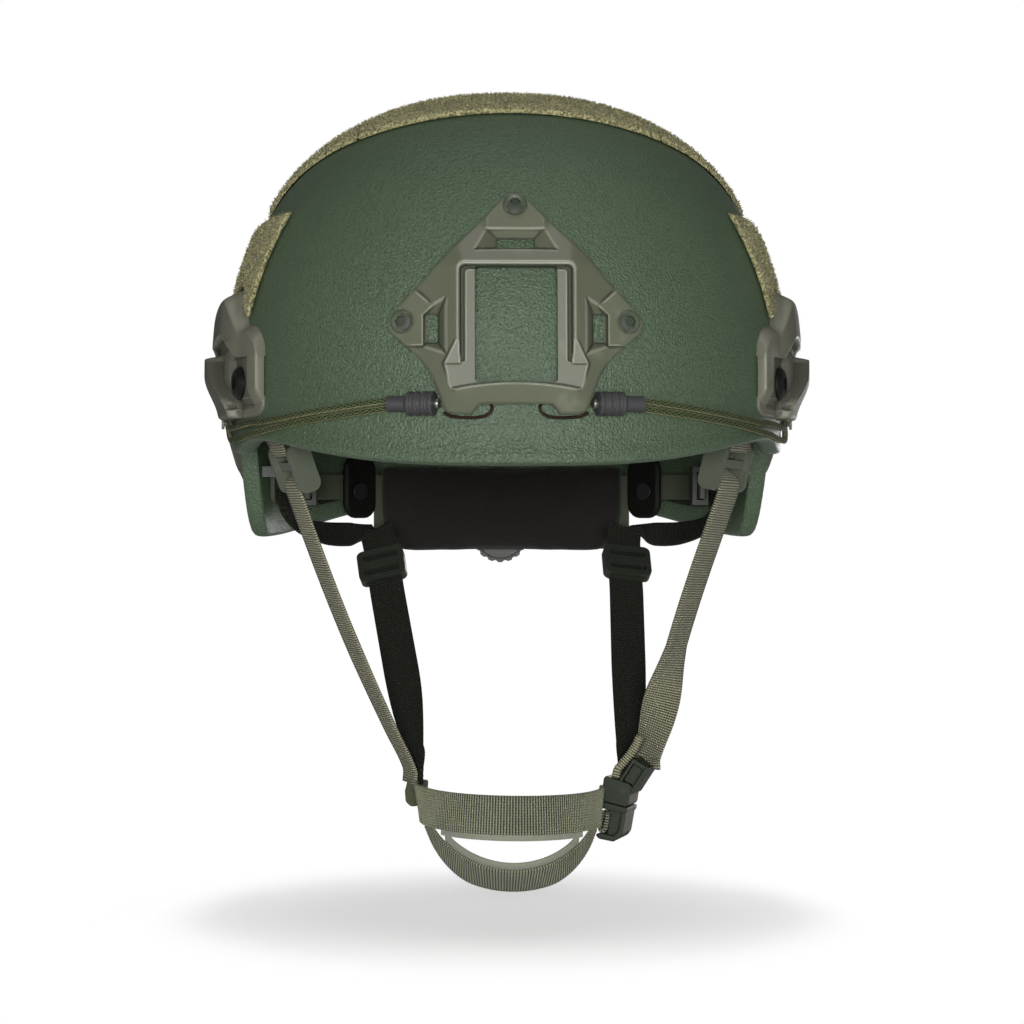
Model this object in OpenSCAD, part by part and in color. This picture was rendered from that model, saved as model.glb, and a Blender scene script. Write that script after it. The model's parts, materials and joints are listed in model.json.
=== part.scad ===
// High-cut combat helmet: shell, side rails, front shroud, hook-and-loop panels,
// pads, a dial-fitted nape band and a four-point chin strap.
// Millimetres. The front faces -Y, +Z is up. The origin is the middle of the head
// opening, in the plane of the front brim's lower edge.

/* [Shell] */
// Outside width of the shell
shell_w = 243; // [234:1:252]
// Outside length of the shell
shell_l = 278; // [268:1:288]
// Height of the crown above the front brim
shell_h = 164; // [158:1:170]
// Wall of the shell
shell_t = 8; // [7:0.5:9]
// How far the front brim flares forward over its lowest 10 mm
brim_flare = 2; // [0:0.5:3]
// Height of the temple's edge above the front brim
temple_rise = 7; // [5:0.5:9]
// How far the ear arch rises above the temple's edge
ear_rise = 24; // [20:1:26]
// How far the lobe behind the ear hangs below the front brim
lobe_drop = 29.5; // [26:0.5:33]
// How far the nape edge hangs below the front brim
nape_drop = 11; // [8:0.5:14]

/* [Rails] */
// Height of the rail's lower edge at the front
rail_low = 21.5; // [20:0.5:23]
// Height of the rail's top edge
rail_top = 77; // [74:0.5:79]
// Thickness of the rail's base plate
rail_plate = 4.5; // [4:0.25:5.5]
// How far the rail's upper body stands off the shell
rail_proud = 10.5; // [9.5:0.25:11.5]
// How far the rail's lower lip stands off the shell
lip_proud = 14.5; // [13.5:0.25:15.5]
// Height above the brim of the rail's front screws
rail_screw_z = 36; // [34:0.5:38]
// Diameter of a rail screw's head
rail_head_d = 14; // [12:0.5:15]

/* [Shroud] */
// Distance of each side screw from the middle
shroud_screw_x = 43.8; // [42:0.2:46]
// Height of the side screws
shroud_screw_z = 55.5; // [54:0.5:58]
// Height of the top screw
shroud_top_z = 102.5; // [100:0.5:105]
// Height of the shroud's two feet
shroud_foot_z = 20.5; // [19.5:0.5:22]
// Thickness of the shroud's base plate
shroud_plate = 4; // [3.5:0.25:5]
// Width of the window between the two flat strips
window_w = 32; // [30:0.5:34]
// Width of each flat strip beside the window
strip_w = 4.4; // [3.8:0.2:5]
// How far the dovetail frame stands above the strips
frame_proud = 3; // [2:0.25:3.5]
// Diameter of the screws through the shell
screw_d = 4.8; // [4:0.2:5]
// Diameter of a shroud screw's head
shroud_head_d = 9.8; // [9:0.2:10.6]

/* [Hook-and-loop] */
// Thickness of the hook-and-loop panels
loop_t = 3; // [2:0.25:3.5]

/* [Bungees] */
// Diameter of one bungee strand
cord_d = 2.6; // [2.2:0.1:3]
// Diameter of the ribbed sleeve
sleeve_d = 9.6; // [8.6:0.2:10.4]
// Diameter of the hook wire
wire_d = 1.3; // [1:0.1:1.6]

/* [Pads and fit band] */
// Thickness of the comfort pads
pad_t = 19; // [16:1:21]
// Radius of the fit band behind the head
band_r = 110; // [106:1:113]
// Thickness of the fit band
band_t = 2.4; // [2:0.1:3]
// Height of the fit band
band_h = 26; // [22:1:30]
// Thickness of the nape pad
nape_t = 13; // [10:1:15]
// Diameter of the fit dial
dial_d = 28; // [26:0.5:30]
// Thickness of the fit dial
dial_t = 9; // [8:0.5:10]

/* [Harness] */
// Width of the webbing
web_w = 16; // [14:0.5:18]
// Thickness of the webbing
web_t = 1.5; // [1.2:0.1:1.8]
// Depth of the left strap junction below the brim
junction_drop = 139; // [134:1:144]
// Distance of the left strap junction from the middle
junction_x = 45; // [42:1:48]
// Distance of the right strap end, above the buckle, from the middle
buckle_x = 58.5; // [56:0.5:61]
// Depth of the right strap end below the brim
buckle_drop = 121; // [118:1:124]
// How far the chin cup reaches forward
chin_reach = 90; // [84:1:96]

/* [Hidden] */

// General clearance between pieces that only rest on each other
gap = 0.3;
// Clearance between a curved piece and the faceted shell under it
seat_gap = 0.5;
bore_r = screw_d / 2 + 0.1;

// Shell surface
plan_power = 2.15;
plan_y = 6;
equator_z = 40;
front_half = shell_l / 2 + plan_y;
rear_half = shell_l / 2 - plan_y;
dome = shell_h - equator_z;

function clamp01(t) = max(0, min(1, t));
function smooth(t) = let (c = clamp01(t)) c * c * (3 - 2 * c);
function mix(a, b, t) = a + (b - a) * t;
function unit(v) = v / norm(v);

// Distance from the plan's centre to the shell, u degrees round from the front
function plan_r(u, off) =
    let (half = cos(u) > 0 ? front_half : rear_half)
    pow(
        pow(abs(sin(u)) / (shell_w / 2 + off), plan_power)
        + pow(abs(cos(u)) / (half + off), plan_power),
        -1 / plan_power
    );

// Power of the meridian, rounder at the front and squarer at the sides
function dome_power(u) = 2.1 + 0.2 * pow(sin(u), 2);

// Height of the shell's lower edge
function edge_z(u) =
    let (a = abs(u))
    (temple_rise + 4.5) * pow(smooth(a / 55), 1.8)
    - 4.5 * smooth((a - 57) / 12)
    + ear_rise * smooth((a - 72) / 16)
    - (temple_rise + ear_rise + lobe_drop) * smooth((a - 90) / 20)
    + (lobe_drop - nape_drop) * smooth((a - 112) / 60);

// Share of the plan radius that is left at height z
function dome_share(u, z, off) =
    z <= equator_z ? 1
    : let (n = dome_power(u)) pow(1 - pow((z - equator_z) / (dome + off), n), 1 / n);

function flare(u, z) =
    brim_flare * smooth((edge_z(u) + 10 - z) / 10) * smooth((62 - abs(u)) / 12);

// Point of the surface that lies off outside the shell, u degrees round, at height z
function skin(u, z, off) =
    let (r = plan_r(u, off) * dome_share(u, z, off) + flare(u, z))
    [r * sin(u), plan_y - r * cos(u), z];

// The same surface by level q: 90 is the crown, 0 the equator and -1 the lower edge
function skin_level(u, q, off) =
    let (n = dome_power(u), rho = pow(pow(abs(cos(q)), n) + pow(abs(sin(q)), n), -1 / n))
    q >= 0
        ? [
            plan_r(u, off) * rho * cos(q) * sin(u),
            plan_y - plan_r(u, off) * rho * cos(q) * cos(u),
            equator_z + (dome + off) * rho * sin(q)
        ]
        : skin(u, equator_z + q * (equator_z - edge_z(u)), off);

// The same surface over a point of the plan
function skin_over(x, y, off) =
    let (
        u = atan2(x, plan_y - y),
        n = dome_power(u),
        rho = min(0.999, norm([x, y - plan_y]) / plan_r(u, off))
    )
    [x, y, equator_z + (dome + off) * pow(1 - pow(rho, n), 1 / n)];

// Outward normal of the shell
function skin_normal(u, z) =
    let (
        du = skin(u + 1, z, 0) - skin(u - 1, z, 0),
        dz = skin(u, z + 1, 0) - skin(u, z - 1, 0)
    )
    unit(cross(du, dz));

// Horizontal direction along the shell, towards the rear on the right side
function skin_along(u, z) =
    let (d = skin(u + 1, z, 0) - skin(u - 1, z, 0), n = skin_normal(u, z))
    unit(d - n * (d * n));

// Closed solid between two grids of points with the same rows and columns. Seen from
// outside, the rows run from top to bottom and the columns from left to right.
module between(outer, inner) {
    rows = len(outer);
    cols = len(outer[0]);
    count = rows * cols;
    points = concat([for (r = outer) each r], [for (r = inner) each r]);
    function at(i, j) = i * cols + j;
    faces = concat(
        [for (i = [0:rows - 2], j = [0:cols - 2]) each [
            [at(i, j), at(i, j + 1), at(i + 1, j + 1)],
            [at(i, j), at(i + 1, j + 1), at(i + 1, j)],
            [count + at(i, j), count + at(i + 1, j + 1), count + at(i, j + 1)],
            [count + at(i, j), count + at(i + 1, j), count + at(i + 1, j + 1)]
        ]],
        [for (i = [0:rows - 2]) each [
            [at(i, 0), at(i + 1, 0), count + at(i + 1, 0)],
            [at(i, 0), count + at(i + 1, 0), count + at(i, 0)],
            [at(i, cols - 1), count + at(i + 1, cols - 1), at(i + 1, cols - 1)],
            [at(i, cols - 1), count + at(i, cols - 1), count + at(i + 1, cols - 1)]
        ]],
        [for (j = [0:cols - 2]) each [
            [at(0, j), count + at(0, j + 1), at(0, j + 1)],
            [at(0, j), count + at(0, j), count + at(0, j + 1)],
            [at(rows - 1, j), at(rows - 1, j + 1), count + at(rows - 1, j + 1)],
            [at(rows - 1, j), count + at(rows - 1, j + 1), count + at(rows - 1, j)]
        ]]
    );
    polyhedron(points, faces, convexity = 6);
}

// Closed solid through rings of points, capped at both ends
module loft(rings) {
    n = len(rings);
    m = len(rings[0]);
    points = [for (r = rings) each r];
    faces = concat(
        [[for (j = [0:m - 1]) j]],
        [for (i = [0:n - 2], j = [0:m - 1]) let (k = (j + 1) % m) each j < m / 2
            ? [[i * m + j, (i + 1) * m + k, i * m + k], [i * m + j, (i + 1) * m + j, (i + 1) * m + k]]
            : [[i * m + j, (i + 1) * m + j, i * m + k], [i * m + k, (i + 1) * m + j, (i + 1) * m + k]]
        ],
        [[for (j = [m - 1:-1:0]) (n - 1) * m + j]]
    );
    polyhedron(points, faces, convexity = 6);
}

function tangent(path, i) =
    unit(path[min(i + 1, len(path) - 1)] - path[max(i - 1, 0)]);

// Round cord along a path, with one sideways vector for each point
module cord(path, sides_at, r, sides = 8) {
    loft([for (i = [0:len(path) - 1])
        let (
            t = tangent(path, i),
            a = unit(sides_at[i] - t * (sides_at[i] * t)),
            b = cross(t, a)
        )
        [for (k = [0:sides - 1]) path[i] + r * (a * cos(360 * k / sides) + b * sin(360 * k / sides))]
    ]);
}

// Flat webbing along a path, with one vector across the webbing for each point
module webbing(path, across, w = web_w, t = web_t) {
    loft([for (i = [0:len(path) - 1])
        let (
            d = tangent(path, i),
            a = unit(across[i] - d * (across[i] * d)),
            n = cross(d, a)
        )
        [
            path[i] - a * w / 2 - n * t / 2,
            path[i] + a * w / 2 - n * t / 2,
            path[i] + a * w / 2 + n * t / 2,
            path[i] - a * w / 2 + n * t / 2
        ]
    ]);
}

// Puts children at a point, with their X and Z along two given directions
module set_at(o, x, z) {
    y = cross(z, x);
    multmatrix([
        [x.x, y.x, z.x, o.x],
        [x.y, y.y, z.y, o.y],
        [x.z, y.z, z.z, o.z],
        [0, 0, 0, 1]
    ]) children();
}

// Puts children on the shell, with Z outwards and X along the shell
module on_shell(u, z, off = 0) {
    n = skin_normal(u, z);
    set_at(skin(u, z, 0) + n * off, skin_along(u, z), n) children();
}

// Rounded rectangle
module pill(w, h, r) {
    polygon([for (c = [0:3], k = [0:5])
        let (a = 90 * c + 18 * k)
        [
            (c == 0 || c == 3 ? 1 : -1) * (w / 2 - r) + r * cos(a),
            (c < 2 ? 1 : -1) * (h / 2 - r) + r * sin(a)
        ]
    ]);
}

module both(side) {
    if (side < 0) mirror([1, 0, 0]) children();
    else children();
}

// Shell
shell_cols = concat(
    [for (u = [0:7.5:59]) u], [for (u = [60:4:119]) u], [for (u = [120:7.5:179]) u],
    [for (u = [180:-7.5:121]) -u], [for (u = [120:-4:61]) -u], [for (u = [60:-7.5:1]) -u]
);
shell_rows = [-1, -0.93, -0.85, -0.72, -0.5, -0.25, 0, 10, 20, 30, 40, 50, 60, 70, 80];

rail_screw_u = 59;
rail_rear_u = 114;
rail_rear_z = 2;

module shell_solid() {
    m = len(shell_cols);
    n = len(shell_rows);
    function lift(u, q) = [0, 0, q == -1 ? min(1.6, 0.03 * (equator_z - edge_z(u))) : 0];
    outer = [for (q = shell_rows, u = shell_cols) skin_level(u, q, 0) + lift(u, q)];
    rim = [for (u = shell_cols) skin_level(u, -1, -shell_t / 2)];
    inner = [for (q = shell_rows, u = shell_cols) skin_level(u, q, -shell_t) + lift(u, q)];
    top = skin_level(0, 90, 0);
    under = skin_level(0, 90, -shell_t);
    a = n * m;
    b = a + m;
    points = concat(outer, rim, inner, [top, under]);
    last = (n - 1) * m;
    faces = [for (j = [0:m - 1]) let (k = (j + 1) % m) each concat(
        [for (i = [0:n - 2]) each [
            [i * m + j, (i + 1) * m + j, (i + 1) * m + k],
            [i * m + j, (i + 1) * m + k, i * m + k],
            [b + i * m + j, b + (i + 1) * m + k, b + (i + 1) * m + j],
            [b + i * m + j, b + i * m + k, b + (i + 1) * m + k]
        ]],
        [
            [last + j, len(points) - 2, last + k],
            [b + last + j, b + last + k, len(points) - 1],
            [a + j, j, k], [a + j, k, a + k],
            [b + j, a + j, a + k], [b + j, a + k, b + k]
        ]
    )];
    polyhedron(points, faces, convexity = 6);
}

module each_shroud_screw() {
    for (p = shroud_screws_at) on_shell(p[0], p[1]) children();
}

module each_rail_screw() {
    for (s = [-1, 1]) {
        on_shell(s * rail_screw_u, rail_screw_z) children();
        on_shell(s * rail_rear_u, rail_rear_z) children();
    }
}

shroud_side_u = asin(shroud_screw_x / plan_r(18.5, 0));
shroud_screws_at = [
    [0, shroud_top_z], [shroud_side_u, shroud_screw_z], [-shroud_side_u, shroud_screw_z]
];

module shell() {
    color("#2f4a35") difference() {
        shell_solid();
        each_shroud_screw() cylinder(r = bore_r, h = 4 * shell_t, center = true, $fn = 24);
        each_rail_screw() cylinder(r = bore_r, h = 4 * shell_t, center = true, $fn = 24);
    }
}

// Rails
rail_u0 = 50;
rail_u1 = 122;
rail_rear_low = 18;

function rail_low_z(u) =
    let (front_round = 5 * (1 - sqrt(clamp01(1 - pow(1 - clamp01((u - rail_u0) / 4), 2)))))
    let (rear_round = 8 * (1 - sqrt(clamp01(1 - pow(1 - clamp01((rail_u1 - u) / 7), 2)))))
    rail_low + front_round + rear_round
    + (temple_rise + ear_rise + 2.5 - rail_low) * smooth((u - 72) / 14)
    - (temple_rise + ear_rise + 2.5 + rail_rear_low) * smooth((u - 92) / 26);

function rail_top_z(u) =
    rail_top
    - 17 * (1 - smooth((u - 58) / 8))
    - 13 * (1 - sqrt(clamp01(1 - pow(1 - clamp01((u - rail_u0) / 7), 2))))
    - 12 * smooth((u - 66) / 20)
    - 53 * smooth((u - 84) / 38)
    - 6 * (1 - sqrt(clamp01(1 - pow(1 - clamp01((rail_u1 - u) / 7), 2))));

// How much of the rail's full section there is: none on its front plate
function rail_body(u) = smooth((u - 56) / 9) * (1 - 0.45 * smooth((u - 84) / 26));

// Cross-section of the rail: share of its height and distance off the shell
function rail_section(u) =
    let (
        w = rail_body(u),
        plate = rail_plate,
        up = plate + (rail_proud - plate) * w,
        lip = plate + (lip_proud - plate) * w,
        floor = plate + (7 - plate) * w,
        inside = plate + (lip_proud - 3.2 - plate) * w,
        cut = 0.24 * w
    )
    [
        [0, seat_gap], [0.2, seat_gap], [0.4, seat_gap], [0.6, seat_gap], [0.8, seat_gap],
        [1, seat_gap], [0.985, plate * 0.7], [0.94, mix(plate, up - 4, w)],
        [0.76, up], [0.6, up - 0.6 * w], [0.56, mix(up, floor, w)],
        [mix(0.5, 0.5 - cut, w), floor], [mix(0.49, 0.5 - cut, w), mix(floor, inside - 1, w)],
        [mix(0.48, 0.53, w), inside], [mix(0.47, 0.52, w), lip],
        [0.36, lip], [0.18, lip - 1 * w], [0.04, mix(plate, lip - 5, w)]
    ];

rail_cols = [50, 50.7, 52, 54, 56, 58, 60, 62, 64, 66, 69, 72, 76, 80, 84, 88, 92, 96, 100, 104, 108, 112, 115, 118, 120, 121.3, 122];

// A slight crown keeps the section's points out of one straight line. The loft starts at the section's
// upper inner corner, where the solid's inside and outside test as they should.
rail_crown = 0.4;

module rail() {
    pocket_w = rail_head_d + 3;
    color("#5a5a4c") difference() {
        loft([for (u = rail_cols)
            let (z0 = rail_low_z(u), z1 = rail_top_z(u))
            let (section = rail_section(u), count = len(section))
            [for (i = [0:count - 1])
                let (p = section[(i + 5) % count])
                skin(u, mix(z0, z1, p[0]), p[1] + rail_crown * p[0] * (1 - p[0]))
            ]
        ]);
        on_shell(rail_screw_u, rail_screw_z) {
            translate([0, 0, rail_plate - 1.5]) linear_extrude(20) pill(pocket_w, pocket_w + 6, 1.5);
            cylinder(r = bore_r, h = 40, center = true, $fn = 24);
        }
        on_shell(rail_rear_u, rail_rear_z) {
            translate([0, 0, rail_plate - 1.5]) cylinder(r = rail_head_d / 2 + 0.6, h = 20, $fn = 32);
            cylinder(r = bore_r, h = 40, center = true, $fn = 24);
        }
    }
}

// Button-head screw: its head's underside at Z = 0, its shank down
module button_screw(head_d, head_h, shank) {
    difference() {
        union() {
            rotate_extrude($fn = 32) polygon([
                [0, -0.01], [head_d / 2, -0.01], [head_d / 2, head_h * 0.3],
                [head_d * 0.4, head_h * 0.8], [head_d * 0.25, head_h], [0, head_h]
            ]);
            translate([0, 0, -shank]) cylinder(r = screw_d / 2, h = shank, $fn = 24);
        }
        translate([0, 0, head_h * 0.35]) cylinder(r = head_d * 0.22, h = head_h, $fn = 6);
    }
}

// Flanged nut inside the shell, its flange towards the head
module flanged_nut(flange_d) {
    difference() {
        union() {
            cylinder(r = flange_d / 2, h = 1.6, $fn = 32);
            translate([0, 0, -nut_h + 1.6]) cylinder(r = flange_d / 2 - 2.5, h = nut_h - 1.59, $fn = 6);
        }
        translate([0, 0, -4]) cylinder(r = bore_r, h = 10, $fn = 24);
    }
}

anchor_t = 2;
anchor_gap = 1.5;
anchor_slot = 11.5;
nut_h = 3.6;

module rail_screws() {
    seat = rail_plate - 1.5 + 0.05;
    color("#151515") each_rail_screw() translate([0, 0, seat])
        button_screw(rail_head_d, 3, seat + shell_t + anchor_gap + anchor_t + nut_h);
}

module rail_nuts() {
    color("#8a8a86") each_rail_screw()
        translate([0, 0, -shell_t - anchor_gap - anchor_t - 1.65]) flanged_nut(13);
}

// Shroud
shroud_lean = 6;
seat_y = -plan_r(0, 0) + plan_y - 5;
shroud_mid_z = 57;

// Layer of the front of the shell, from off0 to off1 outside it
module front_layer(off0, off1) {
    us = [for (k = [-4:4]) k * 6.2];
    zs = [for (k = [7:-1:0]) mix(shroud_foot_z - 6, shroud_top_z + 9, k / 7)];
    between(
        [for (z = zs) [for (u = us) skin(u, z, off1)]],
        [for (z = zs) [for (u = us) skin(u, z, off0)]]
    );
}

// Front view of the shroud, as an area to draw into the shell
module shroud_outline() {
    foot = window_w / 2 + strip_w + 4;
    difference() {
        hull() {
            translate([0, shroud_top_z]) circle(5.4, $fn = 32);
            for (s = [-1, 1]) {
                translate([s * shroud_screw_x, shroud_screw_z]) circle(5.8, $fn = 32);
                translate([s * (foot - 2), shroud_foot_z + 2]) circle(2, $fn = 24);
            }
        }
        for (s = [-1, 1]) translate([s * (shroud_screw_x + 10), shroud_foot_z + 2]) circle(21, $fn = 64);
        polygon([
            [-window_w / 2, shroud_foot_z - 5], [window_w / 2, shroud_foot_z - 5],
            [window_w / 2 - 0.5, shroud_foot_z], [window_w / 2 - 5, shroud_foot_z + 3.5],
            [-window_w / 2 + 5, shroud_foot_z + 3.5], [-window_w / 2 + 0.5, shroud_foot_z]
        ]);
    }
}

// Puts children in the shroud's flat plane: X right, Y up the plate, Z outwards
module in_shroud_plane() {
    translate([0, seat_y, shroud_mid_z]) rotate([90 - shroud_lean, 0, 0]) children();
}

module shroud_window() {
    h = 45;
    translate([0, -1.5]) pill(window_w, h, 2);
}

module front_shroud() {
    frame_w = window_w + 2 * strip_w + 7;
    color("#5d6350") difference() {
        union() {
            intersection() {
                rotate([90, 0, 0]) linear_extrude(170) shroud_outline();
                front_layer(seat_gap, shroud_plate + 0.5);
            }
            // Flat block behind the two strips
            in_shroud_plane() translate([0, -4, -9]) linear_extrude(9)
                translate([0, 0]) pill(frame_w - 3, 62, 4);
            // Raised frame round the strips, open below
            in_shroud_plane() translate([0, 0, -9]) linear_extrude(9 + frame_proud) difference() {
                translate([0, -3.5]) pill(frame_w, 61, 4.5);
                translate([0, -9]) pill(window_w + 2 * strip_w, 60, 2);
            }
            // Ramps that lock the mount, beside the strips
            for (s = [-1, 1]) in_shroud_plane() hull() {
                translate([s * (frame_w / 2 - 1), -8, 0]) cylinder(r = 0.8, h = frame_proud + 2, $fn = 16);
                translate([s * (frame_w / 2 + 3.5), -17, -5]) cylinder(r = 1.2, h = 6, $fn = 16);
                translate([s * (frame_w / 2 - 3), -19, -4]) cylinder(r = 1.2, h = 5 + frame_proud, $fn = 16);
                translate([s * (frame_w / 2 - 1), -27, -4]) cylinder(r = 1.2, h = 4.5, $fn = 16);
            }
            // Pads under the side screws
            for (s = [-1, 1]) on_shell(s * shroud_side_u, shroud_screw_z)
                translate([0, 0, 1.5]) cylinder(r = 6.8, h = shroud_plate - 1.2, $fn = 32);
            on_shell(0, shroud_top_z) translate([0, 0, 1.5]) cylinder(r = 6.4, h = shroud_plate - 1.2, $fn = 32);
        }
        front_layer(-20, seat_gap);
        in_shroud_plane() translate([0, 0, -30]) linear_extrude(60) shroud_window();
        // Latch slot over the window, with its sloped scoop
        in_shroud_plane() translate([0, 30, -20]) linear_extrude(40) pill(14, 4.2, 1);
        in_shroud_plane() translate([0, 33, 2]) rotate([-28, 0, 0]) linear_extrude(12) pill(20, 9, 2);
        // Side slots between each screw and the frame
        for (s = [-1, 1]) in_shroud_plane() translate([s * 33, -3, -30]) linear_extrude(60) pill(4.6, 11, 0.8);
        // Room for the hook tips behind the lower bar
        for (s = [-1, 1]) translate([s * 9.2, seat_y + 5, shroud_foot_z]) cube([4.4, 7, 14], center = true);
        each_shroud_screw() cylinder(r = bore_r, h = 60, center = true, $fn = 24);
        each_shroud_screw() translate([0, 0, shroud_plate + 0.3])
            cylinder(r = shroud_head_d / 2 + 0.8, h = 20, $fn = 32);
    }
}

module shroud_screws() {
    seat = shroud_plate + 0.35;
    color("#3d4b38") each_shroud_screw() translate([0, 0, seat])
        button_screw(shroud_head_d, 2.6, seat + shell_t + 1 + nut_h);
}

module shroud_nuts() {
    color("#8a8a86") each_shroud_screw() translate([0, 0, -shell_t - 2 * seat_gap - 1.9]) flanged_nut(11);
}

// Bungees: out along the brim, round a post under the rail, and back
cord_r = cord_d / 2;
sleeve_x = 48;
sleeve_u = asin(sleeve_x / plan_r(19.5, 0));
sleeve_z = 24;
bungee_turn_u = 78;

function bungee_mid_z(u) =
    mix(sleeve_z, rail_low - 4.6, clamp01((u - sleeve_u) / 30))
    - 1.5 * smooth((u - 50) / 14) + 5.5 * smooth((u - 70) / 9);
function bungee_off(u) = cord_r + seat_gap + 1.2 * (1 - smooth((u - sleeve_u) / 12));
function bungee_half(u) = cord_r + 0.25 + 1.1 * smooth((u - sleeve_u - 22) / 18);
cord_start_u = sleeve_u + 0.5;

bungee_run = [for (k = [0:12]) mix(cord_start_u, bungee_turn_u, k / 12)];
bungee_turn = [for (k = [1:5]) k * 30];
bungee_uv = concat(
    [for (u = bungee_run) [u, bungee_mid_z(u) + bungee_half(u)]],
    [for (a = bungee_turn) [
        bungee_turn_u + sin(a) * bungee_half(bungee_turn_u) / 2.1,
        bungee_mid_z(bungee_turn_u) + cos(a) * bungee_half(bungee_turn_u)
    ]],
    [for (k = [12:-1:0]) let (u = bungee_run[k]) [u, bungee_mid_z(u) - bungee_half(u)]]
);

module bungee() {
    color("#55573a") cord(
        [for (p = bungee_uv) skin(p[0], p[1], bungee_off(p[0]))],
        [for (p = bungee_uv) skin_normal(p[0], p[1])],
        cord_r
    );
}

module bungee_posts() {
    hole = bungee_half(bungee_turn_u) - cord_r - 0.15;
    color("#5a5a4c") for (s = [-1, 1]) on_shell(s * bungee_turn_u, bungee_mid_z(bungee_turn_u)) {
        translate([0, 0, seat_gap - 0.1]) cylinder(r = hole, h = cord_d + 1.4, $fn = 20);
        translate([0, 0, seat_gap + cord_d + 0.6]) cylinder(r = hole + 1.4, h = 1.2, $fn = 20);
    }
}

// Sleeve and hook: drawn on the right side, along the shell towards the middle
sleeve_len = 10.6;
neck_len = 9;

module on_sleeve() {
    start = skin(sleeve_u, sleeve_z, 0) + skin_normal(sleeve_u, sleeve_z) * (sleeve_d / 2 + seat_gap);
    end = skin(sleeve_u - 8.6, sleeve_z, 0) + skin_normal(sleeve_u - 8.6, sleeve_z) * (sleeve_d / 2 + seat_gap);
    dir = unit(end - start);
    set_at(start, unit(cross([0, 0, 1], dir)), dir) children();
}

module hook_sleeve() {
    color("#1c1c1e") on_sleeve() rotate_extrude($fn = 32) polygon(concat(
        [[0, gap], [3.1, gap], [3.1, neck_len - 1]],
        [for (k = [0:6]) each [
            [sleeve_d / 2 - (k % 2) * 0.5, neck_len + k * sleeve_len / 7],
            [sleeve_d / 2 - (k % 2) * 0.5, neck_len + (k + 1) * sleeve_len / 7]
        ]],
        [[0, neck_len + sleeve_len]]
    ));
}

module hook_ferrule() {
    on_sleeve() translate([0, 0, neck_len + sleeve_len + 0.05])
        cylinder(r = 2, h = 1.8, $fn = 24);
}

module hook_ferrules() {
    color("#a7a9a8") for (s = [-1, 1]) both(s) hook_ferrule();
}

hook_out = seat_gap + wire_d / 2 + 0.6;
hook_path = [
    [10.9, shroud_foot_z, 4], [9.8, shroud_foot_z - 1.5, 3], [8.2, shroud_foot_z - 1.9, hook_out],
    [6.3, shroud_foot_z - 2, hook_out], [4.8, shroud_foot_z - 1.5, hook_out],
    [3.8, shroud_foot_z + 0.2, hook_out], [3.6, shroud_foot_z + 2, hook_out],
    [3.9, shroud_foot_z + 4, hook_out]
];

module wire_hook() {
    path = [for (p = hook_path) skin(p[0], p[1], p[2])];
    color("#3a2c24") cord(path, [for (p = hook_path) skin_normal(p[0], p[1])], wire_d / 2);
}

// Hook-and-loop panels
crown_half = 64;
outer_half = 105;
crown_rear_y = 82;

function panel_front_y(x) = -70 + 65 * pow(abs(x) / 106, 3);
function panel_rear_y(x) = crown_rear_y - 30 * pow(abs(x) / 106, 2);

// Panel over the crown between two distances from the middle
module crown_panel(x0, x1, nx) {
    off0 = seat_gap;
    function grid(off) = [for (j = [0:10]) [for (i = [0:nx])
        let (x = mix(x0, x1, i / nx), y = mix(panel_rear_y(x), panel_front_y(x), j / 10))
        skin_over(x, y, off)
    ]];
    color("#6b6540") between(grid(off0 + loop_t), grid(off0));
}

module loop_crown() {
    crown_panel(-crown_half, crown_half, 10);
}

module loop_outer() {
    crown_panel(crown_half + 2, outer_half, 6);
}

// Side panel: its front edge slants down to a tip above the rail
function side_top_z(u) = 107 - 9 * smooth((u - 60) / 50);
function side_low_z(u) = max(rail_top_z(u) + 3.5, 40);

module loop_side() {
    rows = 6;
    cols = 13;
    function grid(off) = [for (i = [rows:-1:0]) [for (j = [0:cols])
        let (
            t = i / rows,
            u = mix(mix(58, 51.5, t), mix(121, 116, t), j / cols)
        )
        skin(u, mix(side_low_z(u), side_top_z(u), t), off)
    ]];
    color("#6b6540") between(grid(seat_gap + loop_t), grid(seat_gap));
}

module loop_rear() {
    function grid(off) = [for (i = [6:-1:0]) [for (j = [0:8])
        skin(mix(151, 209, j / 8), mix(52, 128, i / 6), off)
    ]];
    color("#6b6540") between(grid(seat_gap + loop_t), grid(seat_gap));
}

// Comfort pads: pillows on the inside of the shell
function pillow(a, b) = pow(max(0, (1 - pow(abs(a), 5)) * (1 - pow(abs(b), 5))), 0.45);

// Pad that spans an angle round the shell and a stretch of levels
module wall_pad(u_mid, u_half, z_mid, z_half, t = pad_t) {
    n = 10;
    m = 7;
    back = -shell_t - 1.2;
    function grid(inner) = [for (i = [m:-1:0]) [for (j = [0:n])
        let (
            a = 2 * j / n - 1,
            b = 2 * i / m - 1,
            pull = 1 - 0.05 * (1 - pow(a * b, 2)),
            u = u_mid + u_half * a * (1 - 0.06 * b * b),
            z = z_mid + z_half * b * (1 - 0.1 * a * a)
        )
        skin(u, z, inner ? back - 4 - (t - 4) * pillow(a * 0.97, b * 0.97) * pull : back)
    ]];
    between(grid(false), grid(true));
}

module pad_front() {
    color("#2a2825") wall_pad(0, 24, 29, 16);
}

module pad_side() {
    color("#2a2825") wall_pad(75, 14, 68, 20);
}

module pad_rear() {
    color("#2a2825") wall_pad(139, 14, 44, 22);
}

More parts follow.
